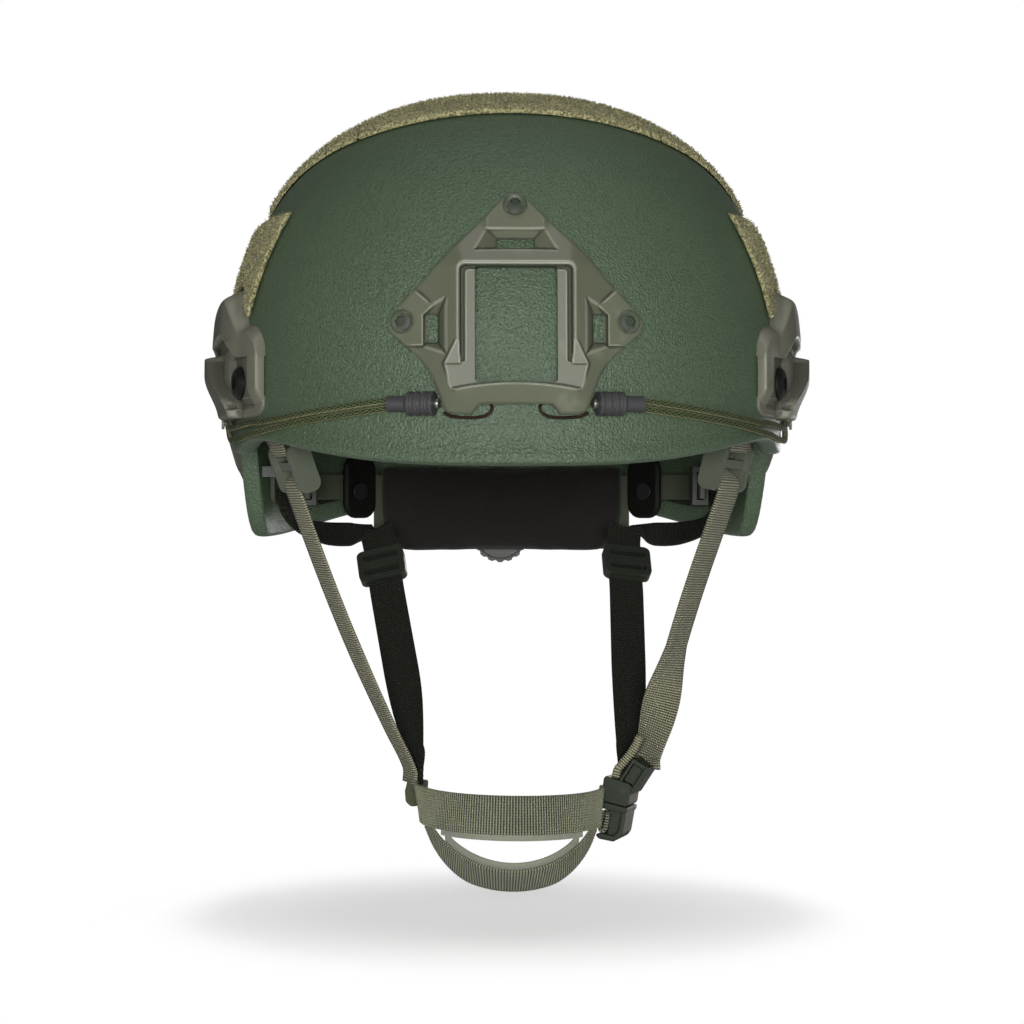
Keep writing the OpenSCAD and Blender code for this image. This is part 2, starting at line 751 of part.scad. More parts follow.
module pad_crown() {
    n = 8;
    r = 46;
    function grid(inner) = [for (i = [0:n]) [for (j = [0:n])
        let (
            a = 2 * j / n - 1,
            b = 1 - 2 * i / n,
            x = r * a * sqrt(1 - b * b / 2),
            y = r * b * sqrt(1 - a * a / 2) + plan_y,
            edge = max(abs(a), abs(b))
        )
        skin_over(x, y, -shell_t - 1.2)
            - [0, 0, inner ? 4 + (pad_t - 4) * pow(max(0, 1 - pow(edge * 0.98, 4)), 0.5) : 0]
    ]];
    color("#2a2825") between(grid(false), grid(true));
}

// Fit band: an arc behind the head that runs out into two straight arms
band_z = -6;
bend_r = 30;
bend_a = 50;
arm_len = 34;
arc_end = [band_r * sin(bend_a), band_r * cos(bend_a) + 2];
bend_c = arc_end - bend_r * [sin(bend_a), cos(bend_a)];
arm_x = bend_c.x + bend_r;

// Points of the band's middle line on the right side, in plan, at a distance in
function band_line(inset) = concat(
    [for (a = [0:5:bend_a]) [(band_r - inset) * sin(a), (band_r - inset) * cos(a) + 2]],
    [for (a = [bend_a + 8:8:90]) bend_c + (bend_r - inset) * [sin(a), cos(a)]],
    [[arm_x - inset, bend_c.y - arm_len]]
);

function band_outline(i0, i1) =
    let (a = band_line(i0), b = band_line(i1))
    concat(
        [for (p = a) p],
        [for (k = [len(b) - 1:-1:0]) b[k]],
        [for (k = [1:len(b) - 1]) [-b[k].x, b[k].y]],
        [for (k = [len(a) - 1:-1:1]) [-a[k].x, a[k].y]]
    );

module fit_band() {
    bore = shaft_r + 0.4;
    color("#3d4136") difference() {
        union() {
            // Tall middle, then narrower arms
            intersection() {
                translate([0, 0, band_z - 30]) linear_extrude(60) polygon(band_outline(0, band_t));
                rotate([-90, 0, 0]) linear_extrude(200) union() {
                    translate([0, -band_z]) pill(2 * arm_x + 60, 12, 3);
                    translate([0, -band_z + 13]) pill(124, band_h + 14, 12);
                }
            }
        }
        translate([0, band_r - 10, dial_z]) rotate([-90, 0, 0]) cylinder(r = bore, h = 30, $fn = 24);
    }
}

dial_z = -29;
shaft_r = 2.5;
housing_t = 7;
dial_y = band_r + 2 + housing_t + 0.6;

module nape_pad() {
    n = 14;
    m = 6;
    half_a = 33.5;
    top = 5;
    low = -38;
    r0 = band_r - band_t - 0.4;
    function grid(inner) = [for (i = [0:m]) [for (j = [0:n])
        let (
            a = 2 * j / n - 1,
            b = 2 * i / m - 1,
            cut = b < 0 ? 1 - 0.2 * b * b : 1,
            ang = half_a * a * cut,
            z = mix((top + low) / 2, b > 0 ? top : low, abs(b)),
            r = r0 - (inner ? 4 + (nape_t - 4) * pillow(a * 0.98, b * 0.96) : 0)
        )
        [r * sin(ang), r * cos(ang) + 2, z]
    ]];
    color("#1d1a17") difference() {
        between(grid(false), grid(true));
        translate([0, r0 - 2, dial_z]) rotate([-90, 0, 0]) cylinder(r = shaft_r + 2.8, h = 10, $fn = 24);
    }
}

module dial_housing() {
    color("#2b2d27") translate([0, band_r + 2 + gap, dial_z]) rotate([-90, 0, 0]) difference() {
        union() {
            cylinder(r = dial_d / 2 - 2, h = housing_t - gap, $fn = 48);
            translate([0, -7, (housing_t - gap) / 2]) cube([44, 13, housing_t - gap], center = true);
        }
        translate([0, 0, -1]) cylinder(r = shaft_r + 0.05, h = 20, $fn = 32);
    }
}

module fit_dial() {
    color("#26281f") translate([0, dial_y, dial_z]) rotate([-90, 0, 0]) difference() {
        cylinder(r = dial_d / 2, h = dial_t, $fn = 64);
        for (k = [0:17]) rotate(20 * k) translate([dial_d / 2 + 0.7, 0, -1])
            cylinder(r = 1.5, h = dial_t + 2, $fn = 16);
        translate([0, 0, -1]) cylinder(r = shaft_r + 0.05, h = dial_t - 1, $fn = 32);
    }
}

// Shaft with the pinion that draws the band in
module dial_shaft() {
    color("#8a8a86") translate([0, band_r - band_t - 1, dial_z]) rotate([-90, 0, 0]) union() {
        cylinder(r = shaft_r, h = dial_y - (band_r - band_t - 1) + dial_t - 2.3, $fn = 32);
        cylinder(r = shaft_r + 1.6, h = 2, $fn = 24);
    }
}

// Wings on the inside of the band, one screw each
wing_a = 40.5;

module at_wing(s) {
    translate([s * (band_r - band_t) * sin(wing_a), (band_r - band_t) * cos(wing_a) + 2, band_z])
        rotate([90, 0, -s * wing_a]) children();
}

module side_wing(s) {
    color("#141414") at_wing(s) translate([0, 0, 1.2]) difference() {
        hull() {
            linear_extrude(1.4) pill(19, 30, 7);
            linear_extrude(2.6) pill(16, 27, 6);
        }
        translate([s * 1.5, -2, -1]) cylinder(r = 2.1, h = 10, $fn = 24);
    }
}

module wing_screws() {
    color("#2a2a2a") for (s = [-1, 1]) at_wing(s) translate([s * 1.5, -2, 3.85]) union() {
        cylinder(r = 4.2, h = 1.2, $fn = 32);
        translate([0, 0, -2.8]) cylinder(r = 1.9, h = 2.81, $fn = 24);
    }
}

// Guides on the shell wall, in which the band's straight arms slide
module band_guide() {
    y = bend_c.y - 17;
    len = 14;
    wall = norm([skin(88, 0, -shell_t).x, 0]);
    slot_t = band_t + 0.8;
    slot_h = 12.8;
    color("#2b2d27") difference() {
        union() {
            translate([arm_x - band_t / 2, y, band_z]) cube([slot_t + 4, len, slot_h + 5], center = true);
            translate([arm_x + 2, y - 5, band_z + 4]) cube([40, 10, 5]);
        }
        translate([arm_x - band_t / 2, y, band_z]) cube([slot_t, len + 2, slot_h], center = true);
        wedge_u = [for (k = [0:4]) 84 + k * 9];
        between(
            [for (z = [20, -20]) [for (u = wedge_u) skin(u, z, 30)]],
            [for (z = [20, -20]) [for (u = wedge_u) skin(u, z, -shell_t - gap)]]
        );
    }
}

// Harness
// Flat anchor plates inside the shell, under the rail screws
module anchor_plate() {
    translate([0, 0, -shell_t - anchor_gap - anchor_t]) linear_extrude(anchor_t) difference() {
        translate([0, -4]) pill(22, 25, 4);
        circle(bore_r, $fn = 24);
        translate([0, -anchor_slot]) pill(web_w + 1.5, 3.2, 1.2);
    }
}

// The front plates lean back towards the ladder locks
anchor_turn = 24;

module strap_anchors() {
    color("#3d4136") for (s = [-1, 1]) {
        on_shell(s * rail_screw_u, rail_screw_z) rotate(s * anchor_turn) anchor_plate();
        on_shell(s * rail_rear_u, rail_rear_z) anchor_plate();
    }
}

// Ladder locks: X across the webbing, Y up along it, Z towards the camera
lock_w = 24;
lock_h = 22;
lock_t = 4;
// Side walls of the lock, which stand beside the webbing on both faces
lock_ear = 2.6;
lock_ear_t = 10.4;

module ladder_lock_body() {
    difference() {
        hull() {
            linear_extrude(lock_t, center = true) pill(lock_w, lock_h, 3);
            translate([0, 4, 0]) linear_extrude(lock_t + 1.6, center = true) pill(lock_w - 2, lock_h - 9, 2);
        }
        translate([0, -4.2, -10]) linear_extrude(20) pill(web_w + 2, 7, 0.8);
        translate([0, 5.8, -10]) linear_extrude(20) pill(web_w + 2, 5.4, 0.8);
    }
    for (s = [-1, 1]) translate([s * (lock_w - lock_ear) / 2, 0, 0]) rotate([0, 90, 0])
        linear_extrude(lock_ear, center = true) pill(lock_ear_t, lock_h, 4);
}

left_lock_at = [-92, -42, 1];
right_lock_at = [93.5, -42, 2];
left_end = [-junction_x - 2.3, -19.5, -junction_drop + 7.5];
left_turn = 66;
right_turn = 52;
end_turn = 70;

function lock_y(o, end) = unit(o - end);
function lock_x(o, end, turn) =
    let (y = lock_y(o, end), a = [cos(turn), -sin(turn) * sign(-o.x), 0]) unit(a - y * (a * y));

// Route of a front strap: threaded through its lock, then down with a slight bow
function front_route(o, end, turn) =
    let (
        y = lock_y(o, end),
        x = lock_x(o, end, turn),
        z = cross(x, y),
        local = [
            [5, -3.9], [1.2, -3.9], [-1.6, -3.8], [-3.4, -2.4], [-4.3, 0],
            [-5.2, 1.8], [-6.8, 3.3], [-9.8, 3.9], [-13, 3.9]
        ]
    )
    concat(
        [for (p = local) o + y * p[0] + z * p[1]],
        [for (k = [1:7]) mix(o + z * 3.9 - y * 13, end + [0, 0, 6], k / 7) - [2.2 * sin(180 * k / 7), 0, 0]],
        [end]
    );

module front_strap(o, end, turn, end_across) {
    route = front_route(o, end, turn);
    x = lock_x(o, end, turn);
    count = len(route);
    color("#3b4032") webbing(
        route, [for (k = [0:count - 1]) mix(x, end_across, clamp01((k - count + 5) / 3))]
    );
}

module ladder_lock(o, end, turn) {
    x = lock_x(o, end, turn);
    z = cross(x, lock_y(o, end));
    color("#6a7268") set_at(o, x, z) ladder_lock_body();
}

// Middle of a strap on the inside of an anchor plate, d below its screw
function strap_at(u, z, down, d) =
    skin(u, z, 0) - skin_normal(u, z) * (shell_t + anchor_gap + anchor_t + web_t / 2 + 0.35) + down * d;

// Short tab from the anchor plate's slot to the lock's upper bar
module front_tab(o, end, turn) {
    s = sign(o.x);
    u = s * rail_screw_u;
    y = lock_y(o, end);
    x = lock_x(o, end, turn);
    z = cross(x, y);
    n = skin_normal(u, rail_screw_z);
    along = skin_along(u, rail_screw_z);
    down = along * s * sin(anchor_turn) - [0, 0, cos(anchor_turn)];
    level = along * cos(anchor_turn) + [0, 0, s * sin(anchor_turn)];
    route = [
        strap_at(u, rail_screw_z, down, anchor_slot - 2),
        strap_at(u, rail_screw_z, down, anchor_slot + 4) - n * 0.5,
        strap_at(u, rail_screw_z, down, anchor_slot + 7) - n * 2,
        o + y * 16 + z * 4.8, o + y * 11.5 + z * 4.2, o + y * 7 + z * 4
    ];
    color("#3b4032") webbing(route, [level, level, level, mix(level, x, 0.7), x, x]);
}

// Rear straps: from the rear anchor plates round below the fit band, then straight down
// through their sliders to the junction on the left and the buckle on the right
left_slider_at = [-58, 53, -36];
right_slider_at = [57, 50, -35];
left_rear_end = [-junction_x + 0.9, -18, -junction_drop + 6.8];
rear_bend = [0, 4.5, 12];

function rear_route(at, end) =
    let (
        s = sign(at.x),
        slot = strap_at(s * rail_rear_u, rail_rear_z, [0, 0, -1], anchor_slot),
        n = skin_normal(s * rail_rear_u, rail_rear_z),
        low = end + rear_bend
    )
    [
        slot + [0, 0, 2], slot - [0, 0, 4.5] - n * 0.3, slot - [0, 0, 8] - n * 1.2, [s * 95, 57, -24.5],
        [s * 84, 60.5, -28], [s * 72, 63, -28.5], [s * 63.5, 61.5, -27.5],
        mix(at, low, -0.1), mix(at, low, 0.25), mix(at, low, 0.6), mix(at, low, 0.8), low,
        end + [0, 0, 5], end
    ];

module rear_strap(at, end, end_across) {
    s = sign(at.x);
    along = s * skin_along(s * rail_rear_u, rail_rear_z);
    level = [s, 0.25, 0];
    color("#22271f") webbing(rear_route(at, end), [
        -along, -along, -along, [0, -0.9, -0.4], [s * 0.2, -0.75, -0.5], [s * 0.45, -0.6, -0.5],
        [s * 0.8, -0.3, -0.3], level, level, level, mix(level, end_across, 0.5), end_across,
        end_across, end_across
    ]);
}

slider_t = 1.7;

// Three-bar slider round a strap: a plate on each side of the webbing, joined at its edges
module strap_slider(at, end) {
    dir = unit(end + rear_bend - at);
    level = [1, sign(at.x) * 0.25, 0];
    x = unit(level - dir * (level * dir));
    color("#232722") set_at(at + dir * 9, x, cross(x, -dir)) difference() {
        linear_extrude(2 * slider_t + web_t + 2 * gap, center = true) pill(web_w + 6, 17, 3);
        cube([web_w + 0.7, 30, web_t + 0.7], center = true);
        for (y = [-4, 4]) translate([0, y, -10]) linear_extrude(20) pill(web_w + 0.7, 3.6, 0.8);
    }
}

// Cross strap behind the neck: outside the fit band, between the two rear straps
module nape_strap() {
    r = band_r + 4.5;
    w = 10;
    end = [for (s = [-1, 1]) skin(s * 117, -10.5, -shell_t - anchor_gap - anchor_t - 1.5 * web_t - 1)];
    route = concat(
        [end[0]],
        [for (a = [-52:8:52]) [r * sin(a), r * cos(a) + 2, band_z - 4.5 * smooth((abs(a) - 36) / 20)]],
        [end[1]]
    );
    color("#22271f") webbing(route, [for (p = route) [0, 0, 1]], w = w);
}

// Small slider that gathers the left straps at the chin cup
module junction_slider() {
    color("#20231e") translate([-junction_x - 1.7, -19, -junction_drop + 2.2]) rotate([0, 12, 20])
        linear_extrude(9, center = true) pill(7, web_w + 2, 2);
}

// Chin cup: two bands in a U below the mouth and under the chin
cup_left = [-junction_x + 6.5, -25, -junction_drop - 4];
cup_right = [buckle_x - 19, -27, -junction_drop - 6];
cup_steps = 20;
// The lower band runs this much wider than the upper, half on each side
lower_wider = 0.3;

function cup_point(t, reach, drop, widen, narrow) =
    let (a = 180 * t, mid = (cup_left + cup_right) / 2, half = (cup_right.x - cup_left.x) / 2 - narrow)
    [
        mid.x - half * cos(a) * (1 + widen * sin(a)),
        mid.y - (reach + mid.y) * pow(sin(a), 0.8),
        mix(cup_left.z, cup_right.z, t) - drop * pow(sin(a), 1.2)
    ];

upper_route = [for (k = [0:cup_steps]) cup_point(k / cup_steps, chin_reach, -2, 0.14, 0)];
lower_route = [for (k = [0:cup_steps]) cup_point(k / cup_steps, chin_reach - 14, 27, 0.04, -lower_wider)];
upper_across = [for (k = [0:cup_steps]) [0, 0.12, 1]];
lower_across = [for (k = [0:cup_steps]) [0, -1.25 * sin(180 * k / cup_steps), 1]];

// Points of a list from index i0 to i1
function part_of(list, i0, i1) = [for (k = [i0:i1]) list[k]];

// The same route moved in towards the head by d and up the band by lift
function inset(route, across, d, lift) = [for (i = [0:len(route) - 1])
    route[i] - unit(cross(tangent(route, i), across[i])) * d + unit(across[i]) * lift
];

module chin_band_upper() {
    color("#353c2a") webbing(upper_route, upper_across);
}

module chin_band_lower() {
    color("#353c2a") webbing(part_of(lower_route, 3, 17), part_of(lower_across, 3, 17));
}

lining_t = 1.4;
lining_in = (web_t + lining_t) / 2 + gap;

module chin_lining_upper() {
    r = inset(upper_route, upper_across, lining_in, -2.5);
    color("#7b8470") webbing(part_of(r, 5, 15), part_of(upper_across, 5, 15), t = lining_t);
}

module chin_lining_lower() {
    r = inset(lower_route, lower_across, lining_in, 3);
    color("#7b8470") webbing(part_of(r, 5, 15), part_of(lower_across, 5, 15), t = lining_t);
}

// Side-release buckle: X is its thickness, Y its width, Z up its axis, which leans outwards
buckle_at = [buckle_x - 9.2, -25, -buckle_drop - 18.7];
buckle_lean = 10;
buckle_w = 24;
buckle_thick = 12;
buckle_len = 10;
frame_turn = 23;
frame_at = [5.8, 0, 8.2];
frame_len = 12;

function buckle_dir(a) = [sin(a), 0, cos(a)];
function buckle_point(p) =
    buckle_at + p.x * buckle_dir(buckle_lean + 90) + [0, p.y, 0] + p.z * buckle_dir(buckle_lean);

// Ends of the two right straps, side by side on the upper bar of the buckle
bar_dir = buckle_dir(buckle_lean + frame_turn);
bar_top = buckle_point(frame_at) + bar_dir * (frame_len / 2 + 0.85);
right_end = bar_top + 1.15 * buckle_dir(buckle_lean + frame_turn + 90);
right_rear_end = bar_top - 1.15 * buckle_dir(buckle_lean + frame_turn + 90);

module buckle_female() {
    color("#2c3a2d") translate(buckle_at) rotate([0, buckle_lean, 0]) difference() {
        union() {
            linear_extrude(buckle_len, center = true) pill(buckle_thick, buckle_w, 3);
            translate(frame_at) rotate([0, frame_turn, 0]) difference() {
                cube([8, buckle_w - 1, frame_len], center = true);
                cube([4.4, buckle_w + 1, frame_len - 5], center = true);
            }
        }
        translate([0, 0, -2.5]) cube([buckle_thick - 4, buckle_w - 5, buckle_len], center = true);
        for (s = [-1, 1]) translate([0, s * buckle_w / 2, -1.5])
            cube([buckle_thick - 5, 8, 5], center = true);
    }
}

module buckle_male() {
    color("#2c3a2d") translate(buckle_at) rotate([0, buckle_lean, 0]) {
        // Two prongs and a guide inside the housing
        for (y = [-1, 0, 1]) translate([0, y * (buckle_w / 2 - 5), -3.2])
            cube([buckle_thick - 5, 3, 9], center = true);
        // Collar and frame below it
        translate([0, 0, -buckle_len / 2 - 1.4]) linear_extrude(2, center = true)
            pill(buckle_thick, buckle_w, 3);
        translate([0, 0, -buckle_len / 2 - 9]) difference() {
            cube([buckle_thick - 1, buckle_w - 2, 13.4], center = true);
            translate([0, 0, -0.5]) cube([20, web_w + 2, 7], center = true);
        }
    }
}

shell();
both(-1) rail();  // rail_left
rail();  // rail_right
rail_screws();
rail_nuts();
front_shroud();
shroud_screws();
shroud_nuts();
both(-1) bungee();  // bungee_left
bungee();  // bungee_right
bungee_posts();
both(-1) hook_sleeve();  // hook_sleeve_left
hook_sleeve();  // hook_sleeve_right
hook_ferrules();
both(-1) wire_hook();  // hook_left
wire_hook();  // hook_right
loop_crown();
both(-1) loop_outer();  // loop_outer_left
loop_outer();  // loop_outer_right
both(-1) loop_side();  // loop_side_left
loop_side();  // loop_side_right
loop_rear();
pad_front();
pad_crown();
both(-1) pad_side();  // pad_side_left
pad_side();  // pad_side_right
both(-1) pad_rear();  // pad_rear_left
pad_rear();  // pad_rear_right
fit_band();
nape_pad();
dial_housing();
fit_dial();
dial_shaft();
side_wing(-1);  // side_wing_left
side_wing(1);  // side_wing_right
wing_screws();
both(-1) band_guide();  // band_guide_left
band_guide();  // band_guide_right
strap_anchors();
front_tab(left_lock_at, left_end, left_turn);  // front_tab_left
front_tab(right_lock_at, right_end, right_turn);  // front_tab_right
ladder_lock(left_lock_at, left_end, left_turn);  // ladder_lock_left
ladder_lock(right_lock_at, right_end, right_turn);  // ladder_lock_right
front_strap(left_lock_at, left_end, left_turn, [cos(end_turn), -sin(end_turn), 0]);  // front_strap_left
front_strap(right_lock_at, right_end, right_turn, [0, 1, 0]);  // front_strap_right
rear_strap(left_slider_at, left_rear_end, [-cos(end_turn), sin(end_turn), 0]);  // rear_strap_left
rear_strap(right_slider_at, right_rear_end, [0, 1, 0]);  // rear_strap_right
strap_slider(left_slider_at, left_rear_end);  // rear_slider_left
strap_slider(right_slider_at, right_rear_end);  // rear_slider_right
nape_strap();
junction_slider();
chin_band_upper();
chin_band_lower();
chin_lining_upper();
chin_lining_lower();
buckle_female();
buckle_male();
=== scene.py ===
# %% [markdown]
# A high-cut combat helmet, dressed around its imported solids. The solids say where every piece is and how
# it moves. This file gives the pieces their finish: paint with an orange-peel grain, moulded plastic,
# fuzzy loop panels, ribbed webbing, braided elastic, foam and cloth.
# Each cell makes one piece or one finish. A note before it says what the real thing is, how it could be
# made in Blender, and why this way was chosen.

# %% Load the frame
import json
import math

import bmesh
import bpy
import numpy as np
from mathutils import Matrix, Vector


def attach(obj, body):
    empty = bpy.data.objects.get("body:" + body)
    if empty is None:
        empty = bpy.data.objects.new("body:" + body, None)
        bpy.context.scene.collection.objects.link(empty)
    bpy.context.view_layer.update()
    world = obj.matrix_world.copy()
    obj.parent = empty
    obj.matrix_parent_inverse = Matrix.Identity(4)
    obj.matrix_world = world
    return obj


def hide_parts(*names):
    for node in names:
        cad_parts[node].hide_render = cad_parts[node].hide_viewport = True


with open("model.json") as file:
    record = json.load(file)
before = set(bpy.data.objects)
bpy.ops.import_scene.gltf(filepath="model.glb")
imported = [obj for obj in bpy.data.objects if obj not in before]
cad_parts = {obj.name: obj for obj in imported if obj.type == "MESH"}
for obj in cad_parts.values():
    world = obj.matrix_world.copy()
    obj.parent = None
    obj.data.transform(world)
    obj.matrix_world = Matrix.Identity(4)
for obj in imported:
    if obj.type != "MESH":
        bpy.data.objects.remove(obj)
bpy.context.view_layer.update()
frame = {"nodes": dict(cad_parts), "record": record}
MM = 0.001

# %% [markdown]
# Blender keeps what a thing is, its data, apart from where it stands, its object. Nothing shows before the
# object is linked into the scene, so one small function does both.


# %% Into the scene
def into_scene(name, data):
    made = bpy.data.objects.new(name, data)
    bpy.context.scene.collection.objects.link(made)
    return made


# %% [markdown]
# The camera stands 1.05 m in front, level, a little to the wearer's right of the middle. A short lens
# close by would swell the brim. A long lens keeps the helmet's sides nearly parallel, as in a studio
# picture.

# %% Camera
CAMERA_BACK, CAMERA_HEIGHT = 1.05, -0.018
CAMERA_TURN = math.radians(1.5)

camera_data = bpy.data.cameras.new("camera")
camera_data.sensor_width = 36
camera_data.lens = 82.6
camera_data.shift_x = 5.5 / 1024
camera = into_scene("camera", camera_data)
camera.location = (
    -CAMERA_BACK * math.sin(CAMERA_TURN),
    -CAMERA_BACK * math.cos(CAMERA_TURN),
    CAMERA_HEIGHT,
)
camera.rotation_euler = (math.pi / 2, 0, -CAMERA_TURN)
bpy.context.scene.camera = camera
bpy.context.scene.view_settings.view_transform = "Standard"
print("camera:", [round(v, 3) for v in camera.location])

# %% [markdown]
# Shader maths reads best as plain expressions. A small class wraps a socket, so that
# `0.4 + 0.3 * grain` adds the Math nodes by itself. One more method makes any other node: its settings
# first, then the values or links of its inputs.


# %% Shader helpers
class Wire:
    """An output socket that can be used in sums."""

    def __init__(self, paint, socket):
        self.paint = paint
        self.socket = socket

    def _sum(self, operation, first, second):
        return self.paint.node("Math", {"operation": operation}, {0: first, 1: second})

    def __add__(self, other):
        return self._sum("ADD", self, other)

    def __sub__(self, other):
        return self._sum("SUBTRACT", self, other)

    def __rsub__(self, other):
        return self._sum("SUBTRACT", other, self)

    def __mul__(self, other):
        return self._sum("MULTIPLY", self, other)

    def __truediv__(self, other):
        return self._sum("DIVIDE", self, other)

    __radd__ = __add__
    __rmul__ = __mul__

    def of(self, operation, other=0.0):
        return self._sum(operation, self, other)

    def ramp(self, low, high):
        """0 below low, 1 above high, smooth between."""
        return self.paint.node(
            "MapRange",
            {"interpolation_type": "SMOOTHSTEP"},
            {"Value": self, "From Min": low, "From Max": high},
        )


class Paint:
    """A material under construction."""

    def __init__(self, name):
        self.material = bpy.data.materials.new(name)
        self.material.use_nodes = True
        self.tree = self.material.node_tree
        self.shader = self.tree.nodes["Principled BSDF"]

    def node(self, kind, settings=None, inputs=None, out=0):
        made = self.tree.nodes.new("ShaderNode" + kind)
        for key, value in (settings or {}).items():
            setattr(made, key, value)
        for key, value in (inputs or {}).items():
            self.put(made.inputs[key], value)
        return Wire(self, made.outputs[out])

    def put(self, socket, value):
        if isinstance(value, Wire):
            self.tree.links.new(value.socket, socket)
        else:
            socket.default_value = value

    def set(self, **values):
        for key, value in values.items():
            self.put(self.shader.inputs[key.replace("_", " ")], value)
        return self

    def place(self, scale=1.0):
        """The piece's own coordinates, in metres times scale."""
        here = self.node("TexCoord", out="Object")
        return self.node("Mapping", {}, {"Vector": here, "Scale": (scale, scale, scale)})

    def noise(self, per_metre, detail=3.0, rough=0.55, where=None):
        return self.node(
            "TexNoise",
            {},
            {
                "Vector": where or self.place(),
                "Scale": per_metre,
                "Detail": detail,
                "Roughness": rough,
            },
        )

    def cells(self, per_metre, where):
        return self.node("TexVoronoi", {}, {"Vector": where, "Scale": per_metre})

    def mix(self, share, low, high, blend="MIX"):
        return self.node(
            "Mix",
            {"data_type": "RGBA", "blend_type": blend},
            {"Factor": share, "A": low, "B": high},
            out="Result",
        )

    def bump(self, height, distance, strength=1.0, under=None):
        inputs = {"Height": height, "Distance": distance, "Strength": strength}
        if under is not None:
            inputs["Normal"] = under
        return self.node("Bump", {}, inputs)

    def uv(self):
        """Two wires: across the strip and along it, in metres."""
        split = self.node("SeparateXYZ", {}, {0: self.node("UVMap")})
        nodes = split.socket.node.outputs
        return Wire(self, nodes["X"]), Wire(self, nodes["Y"])


def srgb(red, green, blue):
    """A colour as a picture editor shows it, 0 to 255, turned into the linear one a shader wants."""

    def one(value):
        value /= 255
        return value / 12.92 if value < 0.04045 else ((value + 0.055) / 1.055) ** 2.4

    return (one(red), one(green), one(blue), 1.0)


def toned(colour, share):
    """The same colour, lighter or darker by a share."""
    return tuple(min(1.0, c * share) for c in colour[:3]) + (1.0,)


# %% [markdown]
# A studio lights a dull green helmet with one broad lamp near the camera, and puts weak lamps behind it
# that draw the edges. A picture of a real studio could light the scene, but separate lamps can be moved
# until each highlight sits where it should. Area lamps give the soft shadows of a soft box.

# %% Lamps
LAMPS = [
    ("key_light", (-0.05, -2.1, -0.02), (0.7, 0.5), 41),
    ("left_light", (-1.6, -0.5, 0.12), (0.5, 0.8), 1.2),
    ("right_light", (1.6, -0.5, 0.12), (0.5, 0.8), 0.6),
    ("top_light", (0, -0.2, 3.0), (0.36, 0.9), 11.2),
    ("back_light", (0.2, 1.9, 0.15), (0.9, 0.6), 9),
    ("low_rim_light", (0.8, 1.6, 0.0), (0.6, 0.35), 6),
]
LAMP_AIM = Vector((0, 0, 0.02))
for lamp_name, lamp_place, lamp_size, watts in LAMPS:
    lamp = bpy.data.lights.new(lamp_name, "AREA")
    lamp.shape = "RECTANGLE"
    lamp.size, lamp.size_y = lamp_size
    lamp.energy = watts
    stand = into_scene(lamp_name, lamp)
    stand.location = lamp_place
    stand.rotation_euler = (LAMP_AIM - Vector(lamp_place)).to_track_quat("-Z", "Y").to_euler()
print("lamps:", len(LAMPS))

# %% [markdown]
# The floor is a pale sheet that has to melt into a white page and still carry the helmet's shadow. More
# light would bleach the helmet too. So the camera sees a much brighter floor than the one that lights the
# helmet, and away from the helmet the floor turns into plain white light.

# %% Floor
FLOOR_HEIGHT, FLOOR_HALF = -0.200, 12
FLOOR_SEEN, FLOOR_LIT = (2.98, 2.98, 2.98, 1), (0.9, 0.9, 0.9, 1)
floor_mesh = bpy.data.meshes.new("floor")
floor_corners = ((-1, -1), (1, -1), (1, 1), (-1, 1))
floor_mesh.from_pydata(
    [(x * FLOOR_HALF, y * FLOOR_HALF, FLOOR_HEIGHT) for x, y in floor_corners], [], [(0, 1, 2, 3)]
)
floor = into_scene("floor", floor_mesh)

pale = Paint("pale_floor")
seen = pale.node("LightPath", out="Is Camera Ray")
pale.set(Base_Color=pale.mix(seen, FLOOR_LIT, FLOOR_SEEN), Roughness=0.95)
# An ellipse round the helmet, inside which the floor takes the shadow
spread = pale.node(
    "Mapping",
    {},
    {"Vector": pale.node("TexCoord", out="Object"), "Scale": (6.2, 8.9, 1), "Location": (0, -0.178, 0)},
)
flat_reach = pale.node("VectorMath", {"operation": "MULTIPLY"}, {0: spread, 1: (1, 1, 0)})
reach = pale.node("VectorMath", {"operation": "LENGTH"}, {0: flat_reach}, out="Value")
own_white = pale.node("Emission", {}, {"Color": (1, 1, 1, 1), "Strength": 1.0})
floor_mix = pale.node(
    "MixShader",
    {},
    {0: seen * reach.ramp(0.35, 1.5), 1: Wire(pale, pale.shader.outputs[0]), 2: own_white},
)
pale.tree.links.new(floor_mix.socket, pale.tree.nodes["Material Output"].inputs["Surface"])
floor.data.materials.append(pale.material)
print("floor at", FLOOR_HEIGHT, "m")

# %% [markdown]
# The world behind the helmet is white for the camera and a tenth of that for the helmet, so that the lamps
# alone shape it.

# %% World
WORLD_LIGHT = 0.1
world = bpy.data.worlds.new("studio")
bpy.context.scene.world = world
world.use_nodes = True
sky = world.node_tree
background = sky.nodes["Background"]
path = sky.nodes.new("ShaderNodeLightPath")
strength = sky.nodes.new("ShaderNodeMapRange")
strength.inputs["To Min"].default_value = WORLD_LIGHT
strength.inputs["To Max"].default_value = 1.0
sky.links.new(path.outputs["Is Camera Ray"], strength.inputs["Value"])
sky.links.new(strength.outputs[0], background.inputs["Strength"])
background.inputs["Color"].default_value = (1, 1, 1, 1)
print("world light:", WORLD_LIGHT)
